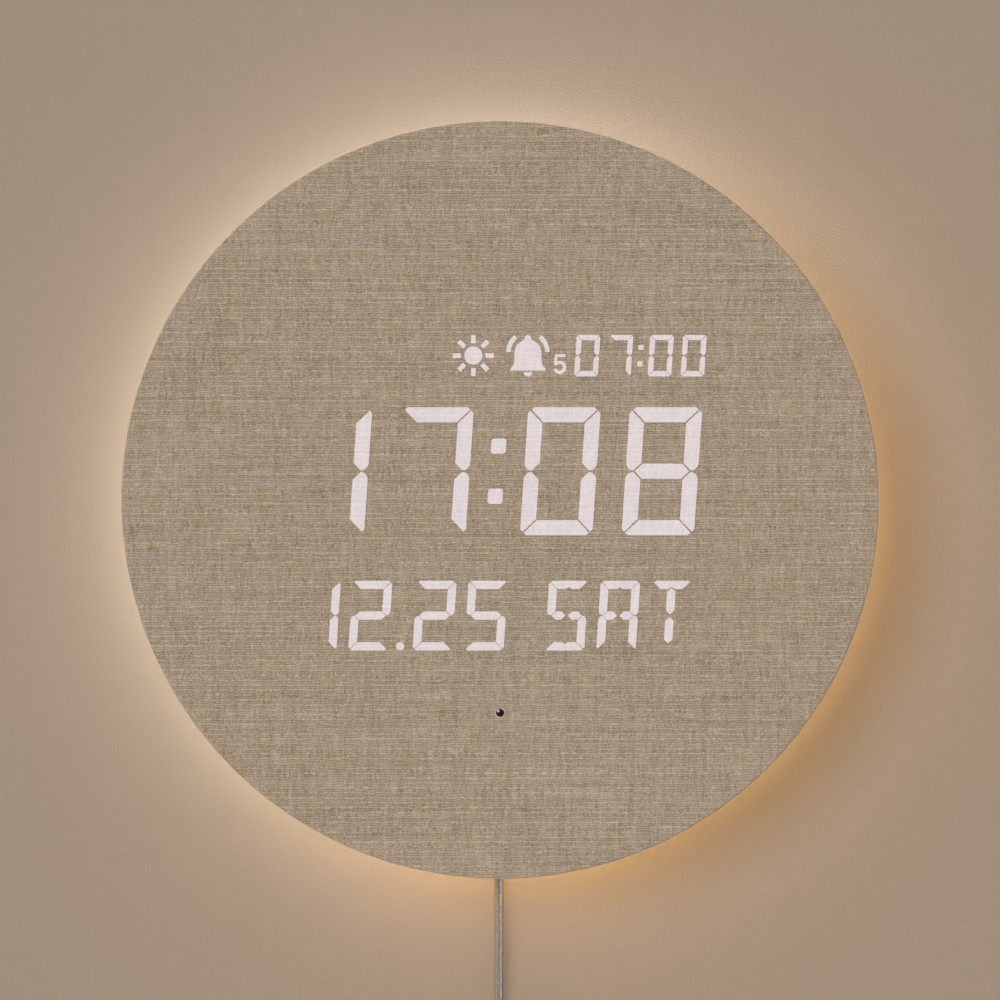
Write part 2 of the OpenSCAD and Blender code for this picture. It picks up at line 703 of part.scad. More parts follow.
module front_board() {
    color("#b08d5f") on_wall() difference() {
        rotate_extrude() polygon(concat([[0, board_back], [board_r, board_back]],
            arc([board_r - edge_r, board_front - edge_r], edge_r, 0, 90, 6), [[0, board_front]]));
        for (b = blocks) box_prism(b, board_back - 1, board_front + 1, window_fit);
        translate([0, sensor_y, board_back - 1]) cylinder(d = sensor_d + 2 * sensor_fit, h = board_t + 2);
        translate([0, sensor_y, board_back - 1]) cylinder(d = sensor_room_d, h = sensor_room_h + 1);
        at_all(display_screws, board_back) pilot(tap_d, tap_bite);
        at_all(sensor_screws, board_back) pilot(tap_d, tap_bite);
        ring_places(ring_screw_r, ring_screws_n, ring_screw_a) translate([0, 0, board_back])
            pilot(tap_d, tap_bite);
        ring_places(post_r, case_n, 0) translate([0, 0, board_back]) pilot(case_d, case_bite);
    }
}

module fabric_ring() {
    z0 = ring_back;
    c = ring_chamfer;
    color("#3a3733") on_wall() difference() {
        rotate_extrude() polygon([[foot_in, z0 + c], [foot_in + c, z0], [lip_out - c, z0],
            [lip_out, z0 + c], [lip_out, board_back - cloth_t], [foot_out, board_back - cloth_t],
            [foot_out, board_back], [foot_in, board_back]]);
        ring_places(ring_screw_r, ring_screws_n, ring_screw_a) translate([0, 0, z0])
            flat_hole(tap_d, tap_head_d, cloth_t + ring_t + 1);
    }
}

module ring_screws() {
    color("#c8c8c8") on_wall() ring_places(ring_screw_r, ring_screws_n, ring_screw_a)
        translate([0, 0, ring_back]) flat_screw(tap_d, tap_head_d, tap_bite + cloth_t + ring_t);
}

// Display

module alarm_reflector() {
    color("#eeeeea") on_wall() difference() {
        box_prism(alarm_box, board_back, board_front);
        windows(concat(alarm_lit, alarm_dark, icons), board_back - 1, board_front + 1);
    }
}

module time_reflector() {
    color("#eeeeea") on_wall() difference() {
        box_prism(time_box, board_back, board_front);
        windows(concat(time_lit, time_dark), board_back - 1, board_front + 1);
    }
}

module date_reflector() {
    color("#eeeeea") on_wall() difference() {
        box_prism(date_box, board_back, board_front);
        windows(concat(date_lit, date_dark), board_back - 1, board_front + 1);
    }
}

module alarm_segments() {
    color("#f3e9e6") on_wall() prisms(alarm_lit, lens_back, lens_front);
}

module time_segments() {
    color("#f3e9e6") on_wall() prisms(time_lit, lens_back, lens_front);
}

module date_segments() {
    color("#f3e9e6") on_wall() prisms(date_lit, lens_back, lens_front);
}

module status_icons() {
    color("#f3e9e6") on_wall() prisms(icons, lens_back, lens_front);
}

module dark_segments() {
    color("#8d8780") on_wall() prisms(concat(time_dark, alarm_dark, date_dark), lens_back, board_front);
}

module segment_leds() {
    color("#e8d27a") on_wall()
        for (m = led_places) translate([m.x - led_size.x / 2, m.y - led_size.y / 2, board_back])
            cube(led_size);
}

module display_board() {
    color("#2f5d3a") on_wall() difference() {
        intersection() {
            translate([pcb_left, pcb_low, pcb_back])
                cube([pcb_right - pcb_left, pcb_high - pcb_low, pcb_t]);
            translate([0, 0, pcb_back - 1]) cylinder(r = pcb_clip, h = pcb_t + 2);
        }
        at_all(display_screws, pcb_back - 1) pilot(tap_d, pcb_t + 2);
    }
}

// Sensor

module sensor_lens() {
    z0 = board_back + sensor_chip_size.z;
    color("#101010") on_wall() translate([0, sensor_y, 0]) rotate_extrude() polygon(concat(
        [[0, z0], [sensor_d / 2, z0]], [for (i = [0:6]) [sensor_d / 2 * cos(15 * i),
        face_front + sensor_dome * sin(15 * i)]]));
}

module sensor_chip() {
    s = sensor_chip_size;
    color("#202020") on_wall() translate([-s.x / 2, sensor_y - s.y / 2, board_back]) cube(s);
}

module sensor_board() {
    color("#2f5d3a") on_wall() difference() {
        translate([-sensor_pcb.x / 2, sensor_y - sensor_pcb.y / 2, pcb_back])
            cube([sensor_pcb.x, sensor_pcb.y, pcb_t]);
        at_all(sensor_screws, pcb_back - 1) pilot(tap_d, pcb_t + 2);
    }
}

module sensor_lead() {
    y0 = sensor_y + 2;
    y1 = socket_low - socket_len;
    color("#d8d8d8") on_wall() translate([sensor_lead_x, y0, lead_z]) union() {
        cylinder(d = lead_d, h = pcb_back - lead_z);
        sphere(d = lead_d);
        rotate([-90, 0, 0]) cylinder(d = lead_d, h = y1 - y0);
    }
}

module board_screws() {
    color("#c8c8c8") on_wall() {
        at_all(concat(display_screws, sensor_screws), pcb_back)
            screw(tap_d, tap_head_d, tap_head_t, pcb_t + tap_bite);
        at_all(main_screws, main_front) rotate([180, 0, 0])
            screw(tap_d, tap_head_d, tap_head_t, pcb_t + tap_bite);
    }
}

// Rear housing and its fixings

module rear_housing() {
    d = housing_depth;
    t = rim_t;
    color("#2b2a29") on_wall() difference() {
        union() {
            rotate_extrude() polygon(concat([[0, 0]],
                arc([flange_r - rim_r, rim_r], rim_r, 270, 360), [[flange_r, t],
                [groove_out, t], [groove_out, t - groove_d], [groove_in, t - groove_d], [groove_in, t],
                [drum_r, t], [drum_r, d - t], [groove_in, d - t], [groove_in, d - t + groove_d],
                [groove_out, d - t + groove_d], [groove_out, d - t], [flange_r, d - t], [flange_r, d],
                [drum_in, d], [drum_in, wall_t], [0, wall_t]]));
            ring_places(post_r, case_n, 0) cylinder(d = post_d, h = d);
            at_all(main_screws, 0) cylinder(d = main_post_d, h = main_z);
            translate([0, plate_y, 0]) round_plate(plate_w + 2 * seat_wall, plate_h + 2 * seat_wall,
                plate_corner + 1, 0, plate_t + head_room + 2);
            translate([0, battery_rise, 0]) cylinder(d = well_out_d, h = well_top);
        }
        ring_places(post_r, case_n, 0) {
            translate([0, 0, -1]) cylinder(d = case_head_d + 2 * seat_fit, h = case_screw_sink + 1);
            cylinder(d = case_d + 2 * screw_fit, h = d + 1);
        }
        at_all(main_screws, main_z - tap_bite) pilot(tap_d, tap_bite + 1);
        translate([0, plate_y, 0])
            round_plate(plate_w + 2 * plate_fit, plate_h + 2 * plate_fit, plate_corner, -1, plate_t);
        translate([-pocket_w / 2, hang_height - pocket_low, 0])
            cube([pocket_w, pocket_low + pocket_high, plate_t + head_room]);
        at_all(hanger_places, plate_t) pilot(tap_d, tap_bite);
        translate([0, battery_rise, 0]) battery_well();
        for (i = [-2:2]) translate([i * button_pitch, button_y, -1])
            cylinder(d = button_d + 2 * button_fit, h = wall_t + 2);
        translate([buzzer_at.x, buzzer_at.y, -1]) {
            cylinder(d = vent_d, h = wall_t + 2);
            ring_places(vent_r, vent_n, 0) cylinder(d = vent_d, h = wall_t + 2);
        }
        translate([0, -drum_in + 4, cord_z]) rotate([90, 0, 0])
            cylinder(d = boot_neck_d + 2 * boot_fit, h = wall_t + 6);
        translate([strip_lead_x, -drum_in + 6, lead_z]) rotate([90, 0, 0])
            cylinder(d = lead_d + 2 * boot_fit, h = wall_t + 6);
    }
}

module battery_well() {
    translate([0, 0, -1]) cylinder(d = door_d + 2 * door_fit, h = door_seat + 1);
    for (i = [0:2]) rotate([0, 0, 120 * i + door_turn - lug_a / 2 - lug_way_a])
        rotate_extrude(angle = lug_a + 2 * lug_way_a) square([lug_way_r, groove_z + 0.5]);
    translate([0, 0, groove_z]) cylinder(r = groove_r, h = hub_end + lug_fit - groove_z);
    cylinder(r = well_r, h = well_floor);
    translate([tab_x - 1.3, -1.3, 0]) cube([2.6, 2.6, well_top + 1]);
    translate([-1.3, -strip_at - 0.5, well_floor - 1]) cube([2.6, 0.9, 4]);
    for (a = [90, 90 - door_turn]) rotate([0, 0, a]) translate([door_d / 2 + dot_in, 0, -1])
        cylinder(d = dot_d, h = 1 + dot_depth);
}

module hanger_plate() {
    color("#b9bcc0") on_wall() difference() {
        translate([0, plate_y, 0]) round_plate(plate_w, plate_h, plate_corner, 0, plate_t);
        translate([0, hang_height, -1]) {
            cylinder(d = keyhole_d, h = plate_t + 2);
            translate([-slot_w / 2, 0, 0]) cube([slot_w, slot_rise, plate_t + 2]);
            translate([0, slot_rise, 0]) cylinder(d = slot_w, h = plate_t + 2);
        }
        at_all(hanger_places, 0) flat_hole(tap_d, tap_head_d, plate_t + 1);
    }
}

module hanger_screws() {
    color("#c8c8c8") on_wall() at_all(hanger_places, 0) flat_screw(tap_d, tap_head_d, plate_t + tap_bite);
}

module wall_pads() {
    color("#1c1c1c") on_wall() for (a = pad_angles) rotate([0, 0, a]) translate([pad_r, 0, -pad_t])
        rotate_extrude() polygon(concat([[0, pad_t], [0, 0]],
            arc([pad_d / 2 - pad_round, pad_round], pad_round, 270, 360), [[pad_d / 2, pad_t]]));
}

module case_screws() {
    color("#c8c8c8") on_wall() ring_places(post_r, case_n, 0) translate([0, 0, case_screw_sink])
        screw(case_d, case_head_d, case_head_t, housing_depth - case_screw_sink + case_bite);
}

// Halo light

module light_ring() {
    z0 = rim_t - groove_d + frost_fit;
    color("#f2efe6") on_wall() rotate([0, 0, light_gap - 90]) rotate_extrude(angle = 360 - 2 * light_gap)
        translate([frost_in, z0]) square([frost_t, housing_depth - 2 * z0]);
}

module led_strip() {
    color("#f5f5f5") on_wall() rotate([0, 0, strip_gap - 90]) rotate_extrude(angle = 360 - 2 * strip_gap)
        translate([drum_r, strip_z - strip_w / 2]) square([strip_t, strip_w]);
}

module strip_leds() {
    span = (360 - 2 * strip_gap) / strip_led_n;
    s = strip_led_size;
    color("#f3d98a") on_wall() for (i = [0:strip_led_n - 1])
        rotate([0, 0, strip_gap - 90 + span * (i + 0.5)])
        translate([drum_r + strip_t + strip_glue, -s.y / 2, strip_z - s.z / 2]) cube(s);
}

module strip_lead() {
    y1 = socket_low - socket_len;
    y0 = -sqrt(pow(drum_r - 0.1, 2) - pow(strip_lead_x + lead_d / 2, 2));
    color("#d8d8d8") on_wall() translate([strip_lead_x, y0, lead_z]) rotate([-90, 0, 0])
        cylinder(d = lead_d, h = y1 - y0);
}

// Electronics

module main_board() {
    color("#2f5d3a") on_wall() difference() {
        translate([-main_w / 2, main_low, main_z]) cube([main_w, main_h, pcb_t]);
        at_all(main_screws, main_z - 1) pilot(tap_d, pcb_t + 2);
    }
}

module controller_chip() {
    color("#202020") on_wall() translate([controller_x, main_y - controller_w / 2, main_front])
        cube([controller_w, controller_w, chip_t]);
}

module driver_chips() {
    color("#202020") on_wall() for (y = driver_ys) translate([driver_x, main_y + y, main_front])
        cube([driver_size.x, driver_size.y, chip_t]);
}

module crystal() {
    w = crystal_w;
    color("#b9bcc0") on_wall() translate([crystal_at.x, crystal_at.y, main_front]) union() {
        cylinder(d = w, h = crystal_t);
        translate([crystal_len - w, 0, 0]) cylinder(d = w, h = crystal_t);
        translate([0, -w / 2, 0]) cube([crystal_len - w, w, crystal_t]);
    }
}

module capacitors() {
    color("#2a3555") on_wall() for (y = [-1, 1])
        translate([capacitor_x, main_y + y * capacitor_pitch / 2, main_front])
        cylinder(d = capacitor_d, h = min(10, pcb_back - main_front - 1));
}

module buzzer() {
    color("#1c1c1c") on_wall() translate([buzzer_at.x, buzzer_at.y, main_z - buzzer_t]) difference() {
        cylinder(d = buzzer_d, h = buzzer_t);
        translate([0, 0, -1]) cylinder(d = 2, h = 2.5);
    }
}

module board_sockets() {
    color("#e6e1d2") on_wall() {
        for (x = [0, strip_lead_x, sensor_lead_x])
            translate([x - socket_w / 2, socket_low - socket_len, main_front])
            cube([socket_w, socket_len, socket_h]);
        translate([tab_x - 2, main_high - socket_len, main_front])
            cube([4 - tab_x, 5, battery_lead_z - main_front + 1.5]);
        translate([ribbon_x - ribbon_w / 2 - 2, ribbon_y0 - socket_len, main_front])
            cube([ribbon_w + 4, socket_len, ribbon_socket_h]);
        translate([ribbon_x - ribbon_w / 2 - 2, ribbon_y1, pcb_back - ribbon_socket_h])
            cube([ribbon_w + 4, socket_len, ribbon_socket_h]);
    }
}

module ribbon_cable() {
    z0 = main_front + ribbon_socket_h / 2;
    z1 = pcb_back - ribbon_socket_h / 2;
    n = ribbon_steps;
    half = [0, ribbon_t / 2];
    line = [for (i = [0:n]) [ribbon_y0 + (ribbon_y1 - ribbon_y0) * i / n, z0 + (z1 - z0) * climb(i / n)]];
    outline = concat([for (p = line) p - half], [for (i = [n:-1:0]) line[i] + half]);
    color("#9a9a9a") on_wall() translate([ribbon_x - ribbon_w / 2, 0, 0]) rotate([90, 0, 90])
        linear_extrude(ribbon_w) polygon(outline);
}

module switch_bodies() {
    color("#303030") on_wall() for (i = [-2:2])
        translate([i * button_pitch, button_y, switch_face]) difference() {
            translate([-switch_w / 2, -switch_w / 2, 0]) cube([switch_w, switch_w, switch_h]);
            translate([0, 0, -1]) cylinder(d = plunger_d + 2 * plunger_fit, h = plunger_depth + 1.5);
        }
}

// One button cap, with a plain mark sunk in its back
module button_cap(i) {
    z1 = wall_t + button_fit;
    translate([i * button_pitch, button_y, 0]) difference() {
        rotate_extrude() polygon(concat([[0, key_end], [0, -button_proud]],
            arc([button_d / 2 - 0.5, 0.5 - button_proud], 0.5, 270, 360), [[button_d / 2, z1],
            [key_flange_d / 2, z1], [key_flange_d / 2, z1 + 1], [2, z1 + 1], [2, key_end]]));
        translate([0, 0, -button_proud - 1]) children();
    }
}

module mark(points) {
    linear_extrude(1 + mark_depth) polygon(points);
}

module plunger(i) {
    translate([i * button_pitch, button_y, key_end])
        cylinder(d = plunger_d, h = plunger_reach + plunger_depth - button_travel);
}

module set_button() {
    color("#4a4845") on_wall() button_cap(-2) difference() {
        cylinder(d = 4.2, h = 1 + mark_depth);
        translate([0, 0, -1]) cylinder(d = 2.6, h = 4);
    }
}

module up_button() {
    color("#4a4845") on_wall() button_cap(-1) mark([[-2.1, -1.3], [2.1, -1.3], [0, 2]]);
}

module down_button() {
    color("#4a4845") on_wall() button_cap(0) mark([[-2.1, 1.3], [0, -2], [2.1, 1.3]]);
}

module alarm_button() {
    color("#4a4845") on_wall() button_cap(1) mark(sized(bell_body, mark_k));
}

module light_button() {
    color("#4a4845") on_wall() button_cap(2) union() {
        mark(sized(sun_disc, mark_k));
        for (i = [0:7]) mark(sized(turned(sun_ray, 45 * i), mark_k));
    }
}

module set_plunger() {
    color("#d0c8b0") on_wall() plunger(-2);
}

module up_plunger() {
    color("#d0c8b0") on_wall() plunger(-1);
}

module down_plunger() {
    color("#d0c8b0") on_wall() plunger(0);
}

module alarm_plunger() {
    color("#d0c8b0") on_wall() plunger(1);
}

module light_plunger() {
    color("#d0c8b0") on_wall() plunger(2);
}

// Battery

module battery_door() {
    color("#353331") on_wall() translate([0, battery_rise, 0]) difference() {
        union() {
            cylinder(d = door_d, h = door_t);
            cylinder(r = hub_r, h = hub_end);
            for (i = [0:2]) rotate([0, 0, 120 * i - lug_a / 2]) rotate_extrude(angle = lug_a)
                translate([hub_r - 1, lug_z]) square([lug_r - hub_r + 1, lug_t]);
        }
        translate([0, 0, door_t]) cylinder(r = hub_in, h = hub_h + 1);
        translate([-coin_slot / 2, -coin_slot_w / 2, -1]) cube([coin_slot, coin_slot_w, 1 + coin_slot_depth]);
        translate([0, door_d / 2 - dot_in, -1]) cylinder(d = dot_d, h = 1 + dot_depth);
    }
}

module coin_cell() {
    z1 = cell_z + cell_t;
    r = cell_d / 2;
    color("#c9ccd0") on_wall() translate([0, battery_rise, 0]) rotate_extrude()
        polygon(concat([[0, cell_z]], arc([r - 0.4, cell_z + 0.4], 0.4, 270, 360),
            [[r, z1 - 0.6], [r - 1.1, z1 - 0.5], [r - 1.3, z1], [0, z1]]));
}

module battery_contacts() {
    z = well_floor;
    t = contact_t;
    top = cell_z + cell_t + 0.05;
    color("#d8c48a") on_wall() translate([0, battery_rise, 0]) {
        union() {
            translate([0, 2.5, 0]) rotate([90, 0, 0]) linear_extrude(5)
                polygon([[-7, z - t], [-5, z - t], [-2, top], [2, top], [5, z - t], [7, z - t], [7, z],
                    [4.9, z], [1.9, top + t], [-1.9, top + t], [-4.9, z], [-7, z]]);
            translate([tab_x - tab_w / 2, -tab_w / 2, z - 0.2]) cube([tab_w, tab_w, tab_top - z + 0.2]);
        }
        union() {
            translate([-2.2, -strip_at - t, hub_end + 0.7]) cube([4.4, t, z - hub_end - 0.7]);
            translate([-tab_w / 2, -strip_at - t, z - 0.2]) cube([tab_w, t, tab_top - z + 0.2]);
        }
    }
}

module battery_leads() {
    y1 = main_high - 1;
    ends = [[tab_x, battery_rise - tab_w / 2], [0, battery_rise - strip_at - contact_t]];
    color("#b03a30") on_wall() for (p = ends)
        translate([p.x, p.y, battery_lead_z]) rotate([90, 0, 0]) cylinder(d = battery_lead_d, h = p.y - y1);
}

// Power

module cord_boot() {
    end = wall_t + boot_in + boot_len + boot_slack;
    collar = boot_in + wall_t + 1.2;
    neck = boot_neck_d / 2;
    out = boot_flange_d / 2;
    low = collar + 2.2;
    step = (end - low) / (boot_grooves + 1);
    slope = (boot_tip_d / 2 - neck - 0.5) / (end - low);
    grooves = [for (i = [1:boot_grooves]) each [for (p = [[-0.5, 0], [-0.5, 0.5], [0.5, 0.5], [0.5, 0]])
        let (z = low + i * step + p.x) [neck + 0.5 + slope * (z - low) - p.y, z]]];
    color("#d9d5cc") on_wall() translate([0, -drum_in + boot_in + boot_slack, cord_z]) rotate([90, 0, 0])
        rotate_extrude() polygon(concat([[0, 0], [out, 0], [out, boot_in], [neck, boot_in], [neck, collar],
            [out, collar], [out, collar + 1.8], [neck + 0.5, low]],
            grooves, [[boot_tip_d / 2, end], [0, end]]));
}

module power_lead() {
    y0 = -drum_in + boot_in + boot_slack;
    y1 = socket_low - socket_len;
    y2 = y0 + power_straight;
    color("#d8d8d8") on_wall() union() {
        translate([0, y0, cord_z]) rotate([-90, 0, 0]) cylinder(d = power_d, h = power_straight);
        translate([0, y2, cord_z]) sphere(d = power_d);
        translate([0, y2, cord_z]) cylinder(d = power_d, h = lead_z - cord_z);
        translate([0, y2, lead_z]) sphere(d = power_d);
        translate([0, y2, lead_z]) rotate([-90, 0, 0]) cylinder(d = power_d, h = y1 - y2);
    }
}

module cord_drop() {
    color("#e2dcd0") tube(drop_path, cord_d, 8);
}

module cord_coil() {
    color("#e2dcd0") tube(coil_path, cord_d, 6);
}

module cord_tie() {
    depth = tie_back - tie_front;
    height = tie_out - tie_in;
    color("#2a2a2a") translate([-tie_w / 2, tie_front + depth / 2, coil_zc + tie_in + height / 2])
        rotate([90, 0, 90]) linear_extrude(tie_w) difference() {
            polygon(round_box(depth + 2 * tie_t, height + 2 * tie_t, tie_round + tie_t));
            polygon(round_box(depth, height, tie_round));
        }
}

module at_plug() {
    translate(plug_at) rotate([180, 0, 0]) children();
}

module plug_body() {
    color("#d9d5cc") at_plug() difference() {
        union() {
            cylinder(d1 = plug_boot_d, d2 = plug_boot_d + 1.4, h = plug_boot);
            round_plate(plug_w, plug_t, plug_round, plug_boot, plug_face);
        }
        for (s = [-1, 1]) for (i = [0:grip_n - 1])
            translate([0, s * plug_t / 2, plug_boot + plug_len / 2 + (i - (grip_n - 1) / 2) * grip_pitch])
            cube([plug_w - 2 * plug_round, 2 * grip_depth, grip_w], center = true);
    }
}

module plug_shell() {
    color("#c4c7cb") at_plug() translate([0, 0, plug_face]) difference() {
        translate([-shell_w / 2, -shell_t / 2, 0]) cube([shell_w, shell_t, shell_len]);
        translate([shell_wall - shell_w / 2, shell_wall - shell_t / 2, -1])
            cube([shell_w - 2 * shell_wall, shell_t - 2 * shell_wall, shell_len + 2]);
        for (x = [-2.6, 2.6]) translate([x - 1.2, -shell_t, plug_slot_at]) cube([2.4, 2 * shell_t, 2.2]);
    }
}

module plug_tongue() {
    color("#e9e9e9") at_plug() translate([-tongue_w / 2, shell_wall - shell_t / 2, plug_face])
        cube([tongue_w, tongue_t, shell_len - 0.8]);
}

module plug_contacts() {
    color("#d9b65a") at_plug() for (x = plug_contact_xs)
        translate([x - 0.5, shell_wall - shell_t / 2 + tongue_t, plug_face]) cube([1, 0.15, shell_len - 3.5]);
}

linen_cover();
front_board();
fabric_ring();
ring_screws();
alarm_reflector();
time_reflector();
date_reflector();
alarm_segments();
time_segments();
date_segments();
status_icons();
dark_segments();
segment_leds();
display_board();
sensor_lens();
sensor_chip();
sensor_board();
sensor_lead();
board_screws();
rear_housing();
hanger_plate();
hanger_screws();
wall_pads();
case_screws();
light_ring();
led_strip();
strip_leds();
strip_lead();
main_board();
controller_chip();
driver_chips();
crystal();
capacitors();
buzzer();
board_sockets();
ribbon_cable();
switch_bodies();
set_button();
up_button();
down_button();
alarm_button();
light_button();
set_plunger();
up_plunger();
down_plunger();
alarm_plunger();
light_plunger();
battery_door();
coin_cell();
battery_contacts();
battery_leads();
cord_boot();
power_lead();
cord_drop();
cord_coil();
cord_tie();
plug_body();
plug_shell();
plug_tongue();
plug_contacts();
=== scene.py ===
"""Looks of a round linen wall clock with lit figures and a halo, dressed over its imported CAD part.

Laid out as a Blender add-on and run as a script. Sizes are metres in the part's own frame:
x to the right, z up, and the face looks to -y.
"""

import math

import bpy
import numpy as np
from bpy.props import FloatProperty, FloatVectorProperty, IntProperty, PointerProperty
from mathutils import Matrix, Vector


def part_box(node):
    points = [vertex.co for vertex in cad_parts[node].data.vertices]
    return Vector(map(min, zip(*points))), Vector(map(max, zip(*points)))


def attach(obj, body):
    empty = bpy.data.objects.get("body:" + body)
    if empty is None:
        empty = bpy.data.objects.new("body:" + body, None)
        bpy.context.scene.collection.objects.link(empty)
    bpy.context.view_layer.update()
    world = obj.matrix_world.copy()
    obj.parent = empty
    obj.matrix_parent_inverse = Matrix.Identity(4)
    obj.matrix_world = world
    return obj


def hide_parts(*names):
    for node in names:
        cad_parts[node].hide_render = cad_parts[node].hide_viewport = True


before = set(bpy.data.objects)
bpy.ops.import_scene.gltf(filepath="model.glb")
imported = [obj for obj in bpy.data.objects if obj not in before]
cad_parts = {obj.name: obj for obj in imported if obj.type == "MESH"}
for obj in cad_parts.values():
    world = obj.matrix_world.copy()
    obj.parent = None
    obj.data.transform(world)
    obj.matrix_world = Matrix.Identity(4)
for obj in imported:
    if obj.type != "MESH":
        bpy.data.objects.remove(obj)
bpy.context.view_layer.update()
LINEN_LOW, LINEN_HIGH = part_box("linen_cover")
SENSOR_LOW, SENSOR_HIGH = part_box("sensor_lens")
RING_LOW, RING_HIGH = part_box("light_ring")

bl_info = {
    "name": "Linen wall clock",
    "version": (1, 0, 0),
    "blender": (4, 5, 0),
    "location": "View3D > Sidebar > Clock",
    "description": "Cloth, lit figures, halo and cord of a round wall clock",
    "category": "Object",
}

MM = 0.001
ROOT = "clock"
FACE_R = (LINEN_HIGH.x - LINEN_LOW.x) / 2
FACE_Z = (LINEN_HIGH.z + LINEN_LOW.z) / 2
FACE_FRONT = LINEN_LOW.y
FACE_BACK = LINEN_HIGH.y
WALL_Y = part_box("wall_pads")[1].y + 0.0001
RING_R = (RING_HIGH.x - RING_LOW.x) / 2
SENSOR_R = (SENSOR_HIGH.x - SENSOR_LOW.x) / 2
SENSOR_Z = (SENSOR_HIGH.z + SENSOR_LOW.z) / 2

# Where the key light and the light behind the clock come from, and the shaded side of the halo as (x, z)
KEY_FROM = Vector((-0.48, -0.80, 0.22))
BACK_FROM = Vector((0.50, 0.80, 0.45))
SHADED_SIDE = (0.82, -0.57)

# Route of the cord after its bend, (x, drop below the boot) in millimetres, as in the part's source
# apart from its straight part, which hangs 0.4 mm to the left
DROP_ROUTE = (
    (-0.4, 34), (-0.4, 44), (-0.4, 54), (-0.4, 64), (-0.4, 72), (-0.9, 77.2), (-2.8, 82), (-5.9, 86.1),
    (-10, 89.3), (-13.2, 90.8), (-16.5, 92.3), (-20.6, 95.5), (-23.8, 99.6), (-25.8, 104.5),
    (-26.5, 109.6), (-26.5, 117), (-26.5, 124.2),
)


def number(name, description, default, unit="NONE"):
    """A number that the sidebar shows."""
    return FloatProperty(name=name, description=description, default=default, unit=unit, precision=5)


def length(name, description, default):
    """A length in metres that the sidebar shows."""
    return number(name, description, default, unit="LENGTH")


def colour(name, description, default):
    """A linear colour that the sidebar shows."""
    return FloatVectorProperty(
        name=name, description=description, default=default, size=3, subtype="COLOR", min=0, max=1
    )


class ClockCloth(bpy.types.PropertyGroup):
    """The linen and its threads."""

    weft_pitch: length("Weft pitch", "Step from one cross thread to the next", 0.00097)
    warp_pitch: length("Warp pitch", "Step from one upright thread to the next", 0.00092)
    slub: length("Slub length", "How long a thick place in a thread is", 0.010)
    edge_radius: length("Edge radius", "Rounding of the cloth over the board's front edge", 0.0009)
    thickness: length("Thickness", "Thickness of the linen", 0.0008)
    tuck: length("Tuck", "Width of the linen tucked behind the board", 0.011)
    pucker: length("Pucker", "Height of the folds in the tucked linen", 0.00012)
    pale: colour("Pale thread", "Colour of the palest threads", (0.496, 0.405, 0.331))
    dark: colour("Dark thread", "Colour of the darkest threads", (0.189, 0.140, 0.0915))
    warm: colour("Warm drift", "What the warmest places multiply the yarn's colour by", (1.0, 0.985, 0.86))


class ClockLight(bpy.types.PropertyGroup):
    """The lit figures and the halo."""

    figure: colour("Figures", "Colour of the lit figures", (0.80, 0.715, 0.715))
    figure_strength: number("Figure strength", "Brightness of the lit figures", 0.62)
    halo: colour("Halo", "Colour of the halo towards the key light", (0.705, 0.75, 0.727))
    halo_deep: colour("Halo in shade", "Colour of the halo on the shaded side", (0.83, 0.595, 0.26))
    halo_strength: number("Halo strength", "Brightness of the frosted ring by the wall", 40.0)


class ClockCord(bpy.types.PropertyGroup):
    """The power cord."""

    exit: FloatVectorProperty(
        name="Exit", description="Where the cord leaves its boot", default=(0, -0.0083, -0.212),
        size=3, subtype="TRANSLATION", unit="LENGTH",
    )
    rest: length("Rest", "Depth at which the cord hangs by the wall", -0.0022)
    bend: length("Bend", "Drop over which the cord bends back to the wall", 0.024)
    length: length("Length", "Length of the cord outside the clock", 1.5)
    diameter: length("Diameter", "Diameter of the clear jacket", 0.0038)
    coil_radius: length("Coil radius", "Radius of the coil's outer turn", 0.0265)
    coil_height: length("Coil height", "Height of the coil's middle", -0.34)
    coil_gap: length("Coil gap", "Space between two turns", 0.0005)
    turns: IntProperty(name="Turns", description="Number of turns in the coil", default=10)
    tail: length("Tail", "Straight cord from the coil to the plug", 0.022)
    jacket: colour("Jacket", "Colour of the clear jacket", (0.235, 0.187, 0.138))
    copper: colour("Copper", "Colour of the copper strands", (0.181, 0.147, 0.137))
    tinned: colour("Tinned", "Colour of the tinned strands", (0.307, 0.317, 0.345))
    # painted shade: the cord's edge away from the key light is given this darker colour
    shade: colour("Shaded edge", "Colour of the edge away from the key light", (0.19, 0.172, 0.155))


class ClockRear(bpy.types.PropertyGroup):
    """Finishes behind the face."""

    housing: colour("Housing", "Colour of the rear housing", (0.70, 0.665, 0.60))
    ring: colour("Fabric ring", "Colour of the ring that holds the linen", (0.50, 0.47, 0.43))
    button: colour("Buttons", "Colour of the buttons", (0.075, 0.07, 0.066))
    mark: colour("Button marks", "Colour of the paint in the sunk marks", (0.78, 0.77, 0.74))
    fibre: colour("Fibreboard", "Colour of the face board", (0.35, 0.22, 0.115))
    board: colour("Circuit board", "Colour of the circuit boards", (0.018, 0.115, 0.045))


